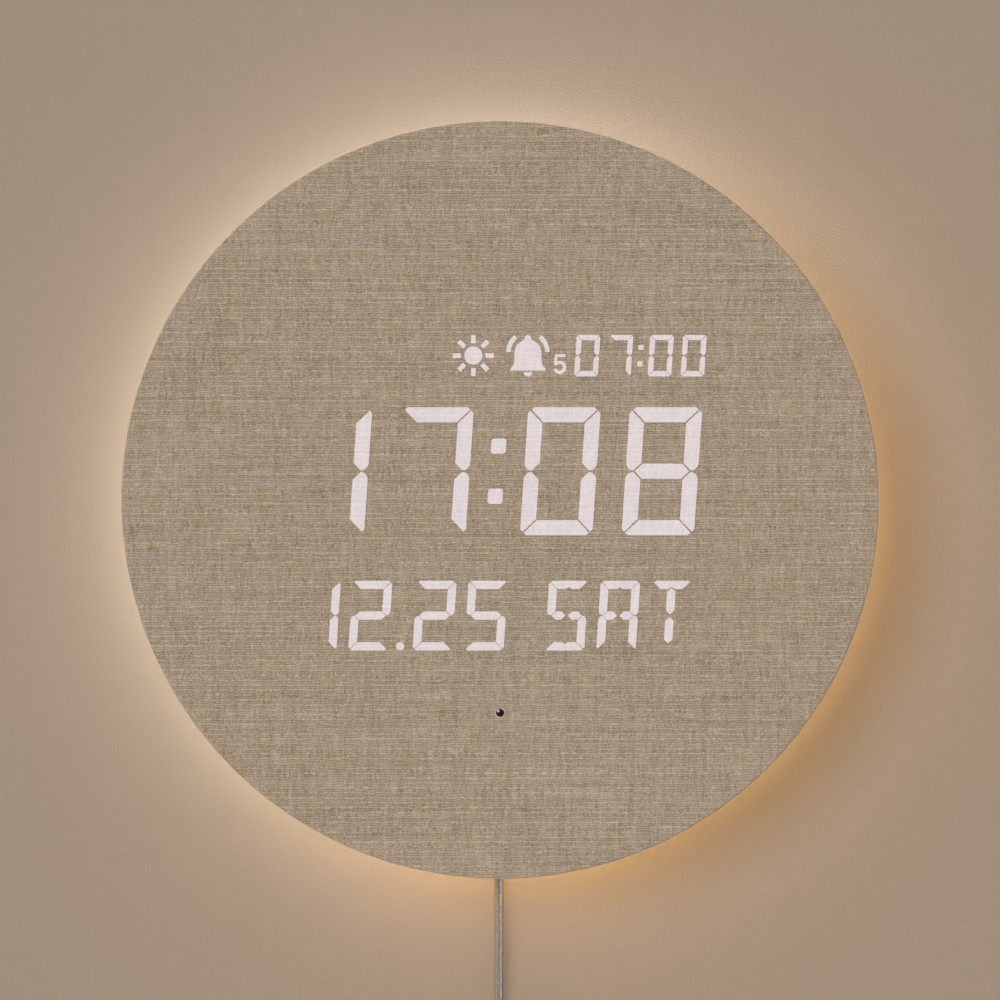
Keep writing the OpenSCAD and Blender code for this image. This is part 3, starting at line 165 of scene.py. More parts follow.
class ClockStage(bpy.types.PropertyGroup):
    """Wall, floor, lamps and camera."""

    wall: colour("Wall", "Colour of the painted wall", (0.328, 0.251, 0.190))
    floor: colour("Floor", "Colour of the floor", (0.72, 0.69, 0.65))
    backdrop: colour("Background", "Colour seen past the wall", (0.80, 0.78, 0.75))
    fill: number("Fill", "Light from all round", 0.45)
    fill_tint: colour("Fill colour", "Colour of the light from all round", (1.0, 0.985, 0.965))
    key: number("Key", "Strength of the key light", 2.06)
    key_spread: number("Key spread", "Degrees over which the key light is spread", 36.0)
    back: number("Back light", "Strength of the light behind the clock", 2.0)
    back_spread: number("Back spread", "Degrees over which the back light is spread", 30.0)
    reach: length("Reach", "Half the width of the wall and of the floor", 1.6)
    floor_height: length("Floor height", "Height of the floor", -1.1)
    camera_distance: length("Camera distance", "From the face to the camera", 2.2)
    frame_width: length("Frame width", "Width that the camera sees at the face", 0.3958)


class Reading:
    """A shader socket used as a number: each operator on it adds one Math node."""

    def __init__(self, finish, socket):
        self.finish = finish
        self.socket = socket

    def __add__(self, other):
        return self.finish.math("ADD", self, other)

    def __radd__(self, other):
        return self.finish.math("ADD", other, self)

    def __sub__(self, other):
        return self.finish.math("SUBTRACT", self, other)

    def __rsub__(self, other):
        return self.finish.math("SUBTRACT", other, self)

    def __mul__(self, other):
        return self.finish.math("MULTIPLY", self, other)

    def __rmul__(self, other):
        return self.finish.math("MULTIPLY", other, self)

    def __truediv__(self, other):
        return self.finish.math("DIVIDE", self, other)


class Finish:
    """The nodes of a material or a world, with one method that adds any node to them."""

    def __init__(self, name, kind="materials"):
        self.owner = getattr(bpy.data, kind).new(name)
        self.owner.use_nodes = True
        self.tree = self.owner.node_tree
        self.tree.nodes.clear()

    def node(self, kind, settings=None, sockets=None, output=0):
        """Adds a node of that kind, sets it up, fills or links its sockets; gives one output, if any."""
        made = self.tree.nodes.new("ShaderNode" + kind)
        for key, value in (settings or {}).items():
            setattr(made, key, value)
        for key, value in (sockets or {}).items():
            if isinstance(value, Reading):
                self.tree.links.new(value.socket, made.inputs[key])
            else:
                made.inputs[key].default_value = value
        return Reading(self, made.outputs[output]) if made.outputs else None

    def math(self, operation, *values):
        """One Math node."""
        return self.node("Math", {"operation": operation}, dict(enumerate(values)))

    def floor(self, value):
        """The whole number below a value."""
        return self.math("FLOOR", value)

    def fraction(self, value):
        """What is left of a value above its whole number."""
        return self.math("FRACT", value)

    def wave(self, turns):
        """The sine of a number of half turns."""
        return self.math("SINE", turns * math.pi)

    def step(self, value, low, high):
        """0 below low and 1 above high, smooth between."""
        sockets = {"Value": value, "From Min": low, "From Max": high}
        return self.node("MapRange", {"interpolation_type": "SMOOTHSTEP"}, sockets)

    def band(self, value, middle, half, soft):
        """1 within half of middle, falling to 0 over soft."""
        return 1 - self.step(self.math("ABSOLUTE", value - middle), half, half + soft)

    def place(self):
        """The point in the part's frame, as three numbers."""
        return self.parts(self.node("TexCoord", output="Object"))

    def parts(self, vector):
        """The three numbers of a vector."""
        first = self.node("SeparateXYZ", {}, {"Vector": vector})
        return [Reading(self, socket) for socket in first.socket.node.outputs]

    def vector(self, x, y, z):
        """A vector of three numbers."""
        return self.node("CombineXYZ", {}, {"X": x, "Y": y, "Z": z})

    def noise(self, x, y, z, detail=2.0, rough=0.5):
        """Smooth noise about 0, read at a point already scaled."""
        sockets = {"Vector": self.vector(x, y, z), "Scale": 1.0, "Detail": detail, "Roughness": rough}
        return self.node("TexNoise", {}, sockets) - 0.5

    def grain(self, density, detail=2.0, rough=0.5):
        """Smooth noise about 0 with so many lumps to the metre, read in the part's frame."""
        x, y, z = self.place()
        return self.noise(x * density, y * density, z * density, detail, rough)

    def mix(self, first, second, share):
        """The first colour, going over to the second as share goes from 0 to 1."""
        sockets = {0: share, 6: solid(first), 7: solid(second)}
        return self.node("Mix", {"data_type": "RGBA"}, sockets, output=2)

    def scaled(self, tint, value):
        """A colour times a number."""
        sockets = {0: tint if isinstance(tint, Reading) else tuple(tint), "Scale": value}
        return self.node("VectorMath", {"operation": "SCALE"}, sockets)

    def product(self, first, second):
        """One colour times another."""
        sockets = {0: first, 1: second if isinstance(second, Reading) else tuple(second)}
        return self.node("VectorMath", {"operation": "MULTIPLY"}, sockets)

    def bump(self, height, depth):
        """The normal of a surface raised by depth metres where height is 1."""
        return self.node("Bump", {}, {"Strength": 1.0, "Distance": depth, "Height": height})

    def surface(self, sockets):
        """Ends a material in one Principled shader and gives the material."""
        return self.ended(self.node("BsdfPrincipled", {}, sockets))

    def either(self, share, sockets, clear_for):
        """Ends a material in a Principled shader that is clear by a share of what clear_for reads."""
        shader = self.node("BsdfPrincipled", {}, sockets)
        clear = self.node("BsdfTransparent")
        return self.ended(self.node("MixShader", {}, {0: share * clear_for, 1: shader, 2: clear}))

    def ended(self, shader, end="OutputMaterial"):
        """Links a shader to the end of the nodes and gives the material or the world."""
        self.node(end, {}, {"Surface": shader})
        return self.owner


def solid(tint):
    """A colour with full alpha, or a reading as it is."""
    return tint if isinstance(tint, Reading) else (*tint, 1.0)


def dress(material, *names):
    """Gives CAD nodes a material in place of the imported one."""
    for name in names:
        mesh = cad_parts[name].data
        mesh.materials.clear()
        mesh.materials.append(material)


def add_piece(name, points, faces, material, attributes=None):
    """Makes a smooth mesh object at the origin from arrays of points and quads."""
    mesh = bpy.data.meshes.new(name)
    mesh.vertices.add(len(points))
    mesh.vertices.foreach_set("co", points.astype(np.float32).ravel())
    mesh.loops.add(faces.size)
    mesh.loops.foreach_set("vertex_index", faces.astype(np.int32).ravel())
    mesh.polygons.add(len(faces))
    mesh.polygons.foreach_set("loop_start", np.arange(len(faces), dtype=np.int32) * faces.shape[1])
    mesh.update(calc_edges=True)
    mesh.validate()
    mesh.polygons.foreach_set("use_smooth", np.ones(len(mesh.polygons), dtype=bool))
    for key, values in (attributes or {}).items():
        layer = mesh.attributes.new(key, "FLOAT_VECTOR", "POINT")
        layer.data.foreach_set("vector", values.astype(np.float32).ravel())
    mesh.materials.append(material)
    piece = bpy.data.objects.new(name, mesh)
    bpy.context.scene.collection.objects.link(piece)
    return piece


def grid_faces(rows, columns, closed):
    """Quads of a grid of points, row by row; closed joins the last column to the first."""
    last = columns if closed else columns - 1
    row, column = np.meshgrid(np.arange(rows - 1), np.arange(last), indexing="ij")
    beside = (column + 1) % columns
    corners = (row * columns + column, row * columns + beside,
               (row + 1) * columns + beside, (row + 1) * columns + column)
    return np.stack(corners, axis=-1).reshape(-1, 4)


# Finishes


def weave(finish, across, up, cloth):
    """Reads a plain weave of uneven yarn at a point of the flat cloth, given in metres.

    Cross threads are rows = up / weft pitch and upright threads are columns = across / warp pitch, both
    swayed by noise. A cross thread is round: its height is the size of sin(pi * rows), and the sign tells
    one thread from the next. Noise that is new in each row gives the thread's own shade, its slubs and
    the short dips under the upright threads; noise that is new in each column, and broader streaks, let
    upright threads show. The third number of each noise only keeps it apart from the others. Gives the
    height, and the shade about 0: the yarn's own tone, plus painted shade that makes the hollows between
    the round threads and the dips darker."""
    bend = finish.noise(across / (6 * MM), up / (2.5 * MM), 3.1)
    kink = finish.noise(across / (1.6 * MM), up / (1.2 * MM), 7.9, 1.0)
    rows = up / cloth.weft_pitch + 1.35 * bend + 1.1 * kink
    sway = finish.noise(across / (2.5 * MM), up / (9 * MM), 9.7)
    columns = across / cloth.warp_pitch + 1.5 * sway
    row = finish.floor(rows)
    column = finish.floor(columns)
    ridge = finish.wave(rows)
    round_yarn = finish.math("ABSOLUTE", ridge)
    dips = finish.noise(across / (0.65 * MM), row * 7.13, 2.0, 1.0)
    slubs = finish.noise(across / cloth.slub, row * 3.77, 8.0, 1.0)
    threads = finish.noise(across / (60 * MM), row * 5.31, 6.0, 1.0)
    uprights = finish.noise(column * 7.13, up / (8 * MM), 5.0, 2.0)
    streaks = finish.noise(across / (1.8 * MM), up / (30 * MM), 4.4, 1.0)
    height = 0.6 * round_yarn + 0.9 * dips + 0.4 * uprights
    # painted shade: the round_yarn and dips terms darken the hollows of the weave; the other terms are the
    # yarn's own tone
    shade = (0.44 * (round_yarn - 0.64) + 0.08 * ridge + 1.1 * dips + 0.32 * slubs + 0.48 * threads
             + 0.6 * uprights + 0.27 * streaks)
    return height, shade


def linen_finish(cloth):
    """Undyed linen: yarn colours from the weave, with painted shade in its hollows, slow drifts of
    tone and warmth, matt, raised yarn.

    A thin pale ring is the trimmed edge of the hole round the sensor. Where the cloth bends over the rim
    it is painted paler: painted light in place of the shade that falls on the bend."""
    finish = Finish("linen")
    across, up, _ = finish.parts(finish.node("Attribute", {"attribute_name": "flat"}, output="Vector"))
    height, shade = weave(finish, across, up, cloth)
    fleck = finish.noise(across / (0.4 * MM), up / (0.35 * MM), 4.0, 1.0)
    drift = finish.noise(across / (9 * MM), up / (5 * MM), 1.3, 2.0)
    level = 0.5 + shade + 1.2 * fleck + 0.03 * drift
    yarn = finish.mix(cloth.dark, cloth.pale, level)
    warmth = finish.noise(across / (6.5 * MM), up / (5 * MM), 6.2, 1.0)
    drifted = finish.mix(yarn, finish.product(yarn, cloth.warm), 0.5 + 2.0 * warmth)
    below = up - (SENSOR_Z - FACE_Z)
    from_sensor = finish.math("SQRT", across * across + below * below)
    trimmed = finish.band(from_sensor, SENSOR_R + 0.25 * MM, 0.15 * MM, 0.2 * MM)
    from_middle = finish.math("SQRT", across * across + up * up)
    # painted light: paler where the cloth bends over the rim, in place of the shade that falls on the bend
    painted_rim_light = finish.band(from_middle, FACE_R + 0.3 * MM, 0.4 * MM, 0.3 * MM)
    return finish.surface({
        "Base Color": finish.mix(drifted, cloth.pale, 0.7 * trimmed + 0.6 * painted_rim_light),
        "Roughness": 0.95 - 0.1 * height,
        "Specular IOR Level": 0.2,
        "Sheen Weight": 0.35,
        "Sheen Roughness": 0.4,
        "Normal": finish.bump(height, 0.00012),
    })


def figure_finish(cloth, light):
    """Light that comes through the linen: the weave stays faintly visible on the lit lenses."""
    finish = Finish("lit_lens")
    x, _, z = finish.place()
    height, shade = weave(finish, x, z - FACE_Z, cloth)
    level = 1.0 + 0.26 * shade
    return finish.surface({
        "Base Color": finish.scaled(light.figure, 0.30 * level),
        "Roughness": 0.8,
        "Specular IOR Level": 0.1,
        "Emission Color": finish.scaled(light.figure, level),
        "Emission Strength": light.figure_strength,
        "Normal": finish.bump(height, 0.00008),
    })


def moulded(name, tint, grain=0.35, gloss=0.45, relief=0.00003, mottle=0.05):
    """Moulded plastic: a spark-eroded grain, slow flow marks and a little uneven gloss."""
    finish = Finish(name)
    grit = finish.grain(1 / (grain * MM), 2.0, 0.6)
    slow = finish.grain(35)
    level = 1 + mottle * (1.6 * slow + 0.8 * grit)
    return finish.surface({
        "Base Color": finish.scaled(tint, level),
        "Roughness": gloss + 0.18 * grit + 0.12 * slow,
        "Specular IOR Level": 0.45,
        "Normal": finish.bump(grit, relief),
    })


def plated(name, tint, gloss=0.32, streak=1.0):
    """Plated or rolled metal: fine streaks along x, cloudy patches and scattered small pits."""
    finish = Finish(name)
    x, y, z = finish.place()
    lines = finish.noise(x * 120, y * 9000, z * 9000, 2.0, 0.6)
    clouds = finish.grain(140, 3.0)
    pits = finish.step(finish.grain(2600, 0.0), 0.2, 0.32)
    return finish.surface({
        "Base Color": finish.scaled(tint, 1 + 0.10 * streak * lines + 0.18 * clouds - 0.15 * pits),
        "Metallic": 1.0,
        "Roughness": gloss + 0.22 * clouds + 0.12 * streak * lines + 0.15 * pits,
        "Normal": finish.bump(lines * streak - pits, 0.000008),
    })


def fibre_finish(rear):
    """Pressed fibreboard: matted fibres and darker specks."""
    finish = Finish("fibreboard")
    x, y, z = finish.place()
    fibres = finish.noise(x * 900, y * 2200, z * 900, 3.0, 0.7)
    specks = finish.step(finish.grain(1500, 1.0), 0.12, 0.22)
    level = 1 + 0.55 * fibres - 0.35 * specks
    return finish.surface({
        "Base Color": finish.scaled(rear.fibre, level),
        "Roughness": 0.85 + 0.1 * fibres,
        "Specular IOR Level": 0.2,
        "Normal": finish.bump(fibres, 0.00008),
    })


def circuit_finish(rear):
    """Solder mask over copper tracks: stepped lines of two directions show paler through the mask."""
    finish = Finish("circuit_board")
    x, _, z = finish.place()
    cell = finish.floor(finish.noise(finish.floor(x * 160), 0.0, finish.floor(z * 160), 0.0) * 6)
    along = finish.fraction(cell / 2) * 2
    line = finish.fraction((x * along + z * (1 - along)) * 900)
    track = finish.band(line, 0.5, 0.2, 0.06)
    cloud = finish.grain(300)
    return finish.surface({
        "Base Color": finish.mix(rear.board, [1.6 * v for v in rear.board], track + 0.4 * cloud),
        "Roughness": 0.38 + 0.15 * cloud,
        "Specular IOR Level": 0.5,
        "Normal": finish.bump(track, 0.00003),
    })


def lamp_finish(name, tint, lit, strength):
    """A small light chip: grainy phosphor that shines in a colour of its own."""
    finish = Finish(name)
    grit = finish.grain(2500, 1.0)
    return finish.surface({
        "Base Color": finish.scaled(tint, 1 + 0.3 * grit),
        "Roughness": 0.5 + 0.2 * grit,
        "Emission Color": finish.scaled(lit, 1 + 0.2 * grit),
        "Emission Strength": strength,
    })


def halo_finish(light):
    """Frosted ring lit from within, brightest by the wall, deeper in colour on the shaded side.

    Its brightness goes with the square of the share of the way from its front end to the wall, and the ends
    beside the cord shine a little more."""
    finish = Finish("frosted")
    x, y, z = finish.place()
    turn = finish.math("ARCTAN2", x, z - FACE_Z)
    right, up = SHADED_SIDE
    shaded = finish.step((right * x + up * (z - FACE_Z)) / RING_R, -0.6, 0.95)
    low = (FACE_Z - z) / RING_R
    ends = 0.2 * finish.step(low, 0.87, 0.98) + 0.9 * finish.step(low, 0.97, 0.997)
    beads = finish.math("COSINE", turn * 48) * 0.05
    frost = finish.grain(900)
    glow = finish.mix(light.halo, light.halo_deep, shaded)
    near = (y - RING_LOW.y) / (RING_HIGH.y - RING_LOW.y)
    return finish.surface({
        "Base Color": finish.scaled((0.82, 0.80, 0.75), 1 + 0.1 * frost),
        "Roughness": 0.6 + 0.2 * frost,
        "Emission Color": finish.scaled(glow, near * near * (1 + ends + beads + 0.1 * frost)),
        "Emission Strength": light.halo_strength,
        "Normal": finish.bump(frost, 0.00003),
    })


def button_finish(rear, back):
    """Dark button with pale paint in its sunk mark, between the mark's floor and the button's back."""
    finish = Finish("button")
    _, y, _ = finish.place()
    grit = finish.grain(2600, 2.0, 0.6)
    floor = finish.band(y, back - 0.25 * MM, 0.06 * MM, 0.03 * MM)
    return finish.surface({
        "Base Color": finish.mix(rear.button, rear.mark, floor * (0.92 + 0.4 * grit)),
        "Roughness": 0.42 + 0.2 * grit,
        "Specular IOR Level": 0.45,
        "Normal": finish.bump(grit, 0.00002),
    })


def rubber_finish(name, tint):
    """Soft rubber: matt, with a dusty bloom and a fine pebble."""
    finish = Finish(name)
    pebble = finish.grain(1800, 2.0, 0.6)
    bloom = finish.step(finish.grain(180, 3.0), 0.02, 0.25)
    return finish.surface({
        "Base Color": finish.mix(tint, [v + 0.05 for v in tint], 0.6 * bloom),
        "Roughness": 0.78 + 0.15 * pebble,
        "Specular IOR Level": 0.3,
        "Normal": finish.bump(pebble, 0.00005),
    })


def sensor_finish():
    """Smoked lens over the light sensor: near black and glossy, with a painted highlight up at the left."""
    finish = Finish("sensor_lens")
    x, _, z = finish.place()
    haze = finish.grain(1500)
    # painted highlight: a pale spot of base colour up at the left of the lens stands in for a reflected
    # light
    aside = x + 0.7 * MM
    above = z - SENSOR_Z - 0.75 * MM
    painted_highlight = 1 - finish.step(finish.math("SQRT", aside * aside + above * above), 0.3 * MM, 0.7 * MM)
    return finish.surface({
        "Base Color": finish.mix((0.003, 0.0027, 0.0027), (0.42, 0.42, 0.40), painted_highlight * (1 + haze)),
        "Roughness": 0.1 + 0.08 * haze,
        "Specular IOR Level": 0.15,
    })


def cord_finish(cord):
    """Clear jacket over a copper and a tinned conductor that run side by side.

    The attribute holds the cosine and sine round the cord and the metres along it. Each conductor is a band
    of the cosine, with slanted strands along it; the jacket is tinted between and beside them, and lets
    part of the light through to the wall. The edge away from the key light is darkened as painted shade."""
    finish = Finish("cord_jacket")
    side, _, along = finish.parts(finish.node("Attribute", {"attribute_name": "round"}, output="Vector"))
    strands = finish.wave(along * 900 + side * 4.0)
    fleck = finish.noise(along * 700, side * 3, 1.7, 2.0, 0.6)
    copper = finish.band(side, -0.1, 0.2, 0.14) * (0.85 + 1.6 * fleck)
    tinned = finish.band(side, 0.42, 0.15, 0.12) * (0.9 + 0.7 * fleck)
    # painted shade: the edge away from the key light goes over to the darker shade colour
    edge = finish.step(side, 0.58, 0.85)
    base = finish.mix(cord.jacket, cord.shade, edge)
    reddish = finish.mix(base, cord.copper, copper)
    silver = finish.mix(reddish, cord.tinned, tinned)
    shadow = finish.node("LightPath", output="Is Shadow Ray")
    uneven = (0.07 * strands + 1.6 * fleck) * (0.4 + copper + 0.6 * tinned)
    return finish.either(0.7, {
        "Base Color": finish.scaled(silver, 1 + uneven),
        "Roughness": 0.3 + 0.1 * fleck,
        "Specular IOR Level": 0.2,
    }, shadow)


def tie_finish():
    """Woven hook tape: short loops in rows, matt black."""
    finish = Finish("tie")
    x, y, z = finish.place()
    loops = finish.wave(x * 1700) * finish.wave((z + y) * 1700)
    fuzz = finish.grain(3000)
    return finish.surface({
        "Base Color": finish.scaled((0.035, 0.034, 0.033), 1.1 + 0.5 * loops + fuzz),
        "Roughness": 0.9 + 0.1 * fuzz,
        "Specular IOR Level": 0.2,
        "Sheen Weight": 0.15,
        "Normal": finish.bump(loops + fuzz, 0.00025),
    })


def ribbon_finish():
    """Flat cable: grey ribs one wire wide, with one red edge."""
    finish = Finish("ribbon")
    x, _, z = finish.place()
    rib = finish.math("ABSOLUTE", finish.wave(x * 787))
    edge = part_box("ribbon_cable")[1].x
    red = finish.step(x, edge - 1.2 * MM, edge - 0.9 * MM)
    return finish.surface({
        "Base Color": finish.mix((0.30, 0.30, 0.30), (0.42, 0.05, 0.04), red * (0.8 + 0.2 * rib)),
        "Roughness": 0.5 + 0.1 * rib + 0.1 * finish.noise(x * 500, z * 500, 0.0),
        "Normal": finish.bump(rib, 0.0003),
    })


def wall_finish(stage):
    """Painted plaster: a soft roller stipple. From behind and to shadow rays it is clear."""
    finish = Finish("wall_paint")
    x, _, z = finish.place()
    stipple = finish.noise(x * 1300, z * 1300, 0.0, 1.0, 0.5)
    slow = finish.noise(x * 9, z * 9, 4.0, 2.0)
    behind = finish.node("NewGeometry", output="Backfacing")
    shadow = finish.node("LightPath", output="Is Shadow Ray")
    return finish.either(1.0, {
        "Base Color": finish.scaled(stage.wall, 1 + 0.05 * slow + 0.02 * stipple),
        "Roughness": 0.9 + 0.05 * stipple,
        "Specular IOR Level": 0.15,
        "Normal": finish.bump(stipple, 0.00010),
    }, finish.math("MAXIMUM", behind, shadow))


def floor_finish(stage):
    """Plain pale floor with a faint cloudiness. From below it is clear."""
    finish = Finish("floor_paint")
    x, y, _ = finish.place()
    slow = finish.noise(x * 4, y * 4, 2.0, 2.0)
    below = finish.node("NewGeometry", output="Backfacing")
    return finish.either(1.0, {
        "Base Color": finish.scaled(stage.floor, 1 + 0.06 * slow),
        "Roughness": 0.8 + 0.1 * slow,
        "Specular IOR Level": 0.2,
    }, below)


# Shapes


def linen_shape(cloth, turns=640):
    """The stretched linen as a surface of revolution, its flat-cloth coordinates and its flat radius.

    The profile runs from the middle of the face out to the edge, round it with the edge radius, back
    along the rim, round the board's back corner, and inward to the cut edge. s is the length along the
    profile, so the flat cloth's point is s times (sin, cos) of the angle. Tucked cloth is raised by pucker
    times a sum of two sines of the angle, because its circle has shrunk. Each quad round the middle point
    takes two edges of the first ring, so turns is even."""
    edge, thick = cloth.edge_radius, cloth.thickness
    flat = np.linspace(0.0005, FACE_R - edge, 36)
    bend = np.linspace(0, math.pi / 2, 13)[1:]
    rim_back = FACE_BACK - thick
    rim = np.linspace(FACE_FRONT + edge, rim_back, 8)[1:]
    heel = np.linspace(0, math.pi / 2, 7)[1:]
    tucked = np.linspace(FACE_R - thick, FACE_R - cloth.tuck, 14)[1:]
    radius = np.concatenate([
        flat, FACE_R - edge + edge * np.sin(bend), np.full(rim.size, FACE_R),
        FACE_R - thick + thick * np.cos(heel), tucked, tucked[-1:],
    ])
    depth = np.concatenate([
        np.full(flat.size, FACE_FRONT), FACE_FRONT + edge - edge * np.cos(bend), rim,
        rim_back + thick * np.sin(heel), np.full(tucked.size, FACE_BACK), [FACE_BACK - thick],
    ])
    along = np.concatenate([[radius[0]], radius[0] + np.cumsum(np.hypot(np.diff(radius), np.diff(depth)))])
    angle = np.linspace(0, 2 * math.pi, turns, endpoint=False)
    inward = np.clip((along - along[flat.size + bend.size + rim.size]) / cloth.tuck, 0, 1)
    folds = np.sin(71 * angle) + 0.6 * np.sin(113 * angle + 1.3) - 1.6
    points = np.empty((radius.size, turns, 3))
    points[..., 0] = radius[:, None] * np.sin(angle)
    points[..., 1] = depth[:, None] + cloth.pucker * np.sin(math.pi * inward)[:, None] * folds
    points[..., 2] = FACE_Z + radius[:, None] * np.cos(angle)
    flat_cloth = np.zeros_like(points)
    flat_cloth[..., 0] = along[:, None] * np.sin(angle)
    flat_cloth[..., 1] = along[:, None] * np.cos(angle)
    centre = np.array([[0, FACE_FRONT, FACE_Z]])
    points = np.concatenate([points.reshape(-1, 3), centre])
    flat_cloth = np.concatenate([flat_cloth.reshape(-1, 3), np.zeros((1, 3))])
    first = np.arange(0, turns, 2)
    middle = np.full(first.size, len(points) - 1)
    cap = np.stack([middle, (first + 2) % turns, first + 1, first], axis=-1)
    faces = np.concatenate([grid_faces(radius.size, turns, True), cap])
    return points, faces, flat_cloth, along[-1]


def cord_path(cord):
    """The cord's centreline: a bend back to the wall, the drop's points, the coil, then its tail.

    With s the share of the bend, its depth goes from the exit to the rest by s^2 (3 - 2 s), and so does
    its small step to the left. A Catmull-Rom curve joins the points of the bend and the drop. With u the
    turn, the coil's angle is pi + 2 pi u. Its radius runs in and out by one pitch a turn, changing way each
    quarter of the turns, and its layer climbs by one pitch over half a turn at each change."""
    s = np.linspace(0, 1, 9)
    eased = s * s * (3 - 2 * s)
    depth = cord.exit[1] + (cord.rest - cord.exit[1]) * eased
    bend = np.stack([DROP_ROUTE[0][0] * MM * eased, depth, cord.exit[2] - cord.bend * s], axis=-1)
    fall = np.array([(x * MM, cord.rest, cord.exit[2] - drop * MM) for x, drop in DROP_ROUTE])
    route = np.concatenate([bend, fall])
    padded = np.concatenate([2 * route[:1] - route[1:2], route, 2 * route[-1:] - route[-2:-1]])
    t = np.linspace(0, 1, 4, endpoint=False)[None, :, None]
    p0, p1, p2, p3 = (padded[i:len(padded) - 3 + i, None] for i in range(4))
    drop = 0.5 * (2 * p1 + (p2 - p0) * t + (2 * p0 - 5 * p1 + 4 * p2 - p3) * t**2
                  + (3 * p1 - p0 - 3 * p2 + p3) * t**3)
    pitch = cord.diameter + cord.coil_gap
    quarter = cord.turns / 4
    u = np.linspace(0, cord.turns, cord.turns * 40 + 1)
    part = np.floor(u / quarter)
    share = u / quarter - part
    radius = cord.coil_radius - pitch * quarter * np.where(part % 2 == 0, share, 1 - share)
    climb = np.clip((u[:, None] - quarter * np.arange(1, 4) + 0.25) * 2, 0, 1)
    layer = (climb * climb * (3 - 2 * climb)).sum(axis=1)
    angle = math.pi + 2 * math.pi * u
    coil = np.stack([radius * np.cos(angle), cord.rest - layer * pitch,
                     cord.coil_height + radius * np.sin(angle)], axis=-1)
    end = coil[-1] * [1, 1, 0] + [0, 0, cord.coil_height - cord.tail]
    tail = coil[-1] + (end - coil[-1]) * np.linspace(0, 1, 9)[1:, None]
    return np.concatenate([drop.reshape(-1, 3), route[-1:], coil, tail])


def tube_shape(path, radius, sides=20):
    """A tube along a path: rings of radius about each point, in the plane across the path's direction."""
    ahead = np.gradient(path, axis=0)
    ahead /= np.linalg.norm(ahead, axis=1, keepdims=True)
    right = np.cross(ahead, [0, 1, 0])
    right /= np.linalg.norm(right, axis=1, keepdims=True)
    inner = np.cross(right, ahead)
    angle = np.linspace(0, 2 * math.pi, sides, endpoint=False)
    cosine, sine = np.cos(angle), np.sin(angle)
    points = path[:, None] + radius * (cosine[:, None] * right[:, None] + sine[:, None] * inner[:, None])
    along = np.concatenate([[0], np.cumsum(np.linalg.norm(np.diff(path, axis=0), axis=1))])
    lay = np.empty_like(points)
    lay[..., 0] = cosine
    lay[..., 1] = sine
    lay[..., 2] = along[:, None]
    return points.reshape(-1, 3), grid_faces(len(path), sides, True), lay.reshape(-1, 3)


# Operators


class CLOCK_OT_camera(bpy.types.Operator):
    """Puts the camera square in front of the face, far off with a long lens."""

    bl_idname = "clock.place_camera"
    bl_label = "Camera"

    def execute(self, context):
        stage = context.scene.clock_stage
        data = bpy.data.cameras.new("camera")
        data.lens = data.sensor_width * stage.camera_distance / stage.frame_width
        camera = bpy.data.objects.new("camera", data)
        camera.location = (0, FACE_FRONT - stage.camera_distance, FACE_Z)
        camera.rotation_euler = (math.pi / 2, 0, 0)
        context.scene.collection.objects.link(camera)
        context.scene.camera = camera
        return {"FINISHED"}


class CLOCK_OT_cord(bpy.types.Operator):
    """Hangs the clear cord from its boot and winds its spare length."""

    bl_idname = "clock.hang_cord"
    bl_label = "Cord"

    def execute(self, context):
        cord = context.scene.clock_cord
        path = cord_path(cord)
        points, faces, lay = tube_shape(path, cord.diameter / 2)
        piece = add_piece("power_cord", points, faces, cord_finish(cord), {"round": lay})
        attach(piece, ROOT)
        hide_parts("cord_drop", "cord_coil")
        return {"FINISHED"}


class CLOCK_OT_linen(bpy.types.Operator):
    """Stretches the linen over the face board."""

    bl_idname = "clock.stretch_linen"
    bl_label = "Linen"

    def execute(self, context):
        cloth = context.scene.clock_cloth
        points, faces, flat_cloth, reach = linen_shape(cloth)
        piece = add_piece("linen", points, faces, linen_finish(cloth), {"flat": flat_cloth})
        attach(piece, ROOT)
        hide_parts("linen_cover")
        2 * reach
        2 * reach
        math.pi * reach**2
        return {"FINISHED"}


class CLOCK_OT_figures(bpy.types.Operator):
    """Lights the time, alarm and date figures and the icons."""

    bl_idname = "clock.light_figures"
    bl_label = "Figures"

    def execute(self, context):
        scene = context.scene
        lit = figure_finish(scene.clock_cloth, scene.clock_light)
        dress(lit, "time_segments", "alarm_segments", "date_segments", "status_icons")
        dress(moulded("dark_lens", (0.26, 0.24, 0.22), 0.5, 0.4), "dark_segments")
        white = moulded("reflector", (0.80, 0.80, 0.77), 0.4, 0.5)
        dress(white, "alarm_reflector", "time_reflector", "date_reflector")
        dress(lamp_finish("segment_chip", (0.75, 0.62, 0.2), (1, 0.9, 0.85), 0.4), "segment_leds")
        dress(sensor_finish(), "sensor_lens")
        return {"FINISHED"}


class CLOCK_OT_halo(bpy.types.Operator):
    """Lights the frosted ring behind the face."""

    bl_idname = "clock.light_halo"
    bl_label = "Halo"

    def execute(self, context):
        light = context.scene.clock_light
        dress(halo_finish(light), "light_ring")
        dress(moulded("strip_flex", (0.78, 0.77, 0.74), 0.6, 0.4), "led_strip")
        dress(lamp_finish("strip_chip", (0.8, 0.66, 0.25), light.halo, 2.0), "strip_leds")
        return {"FINISHED"}


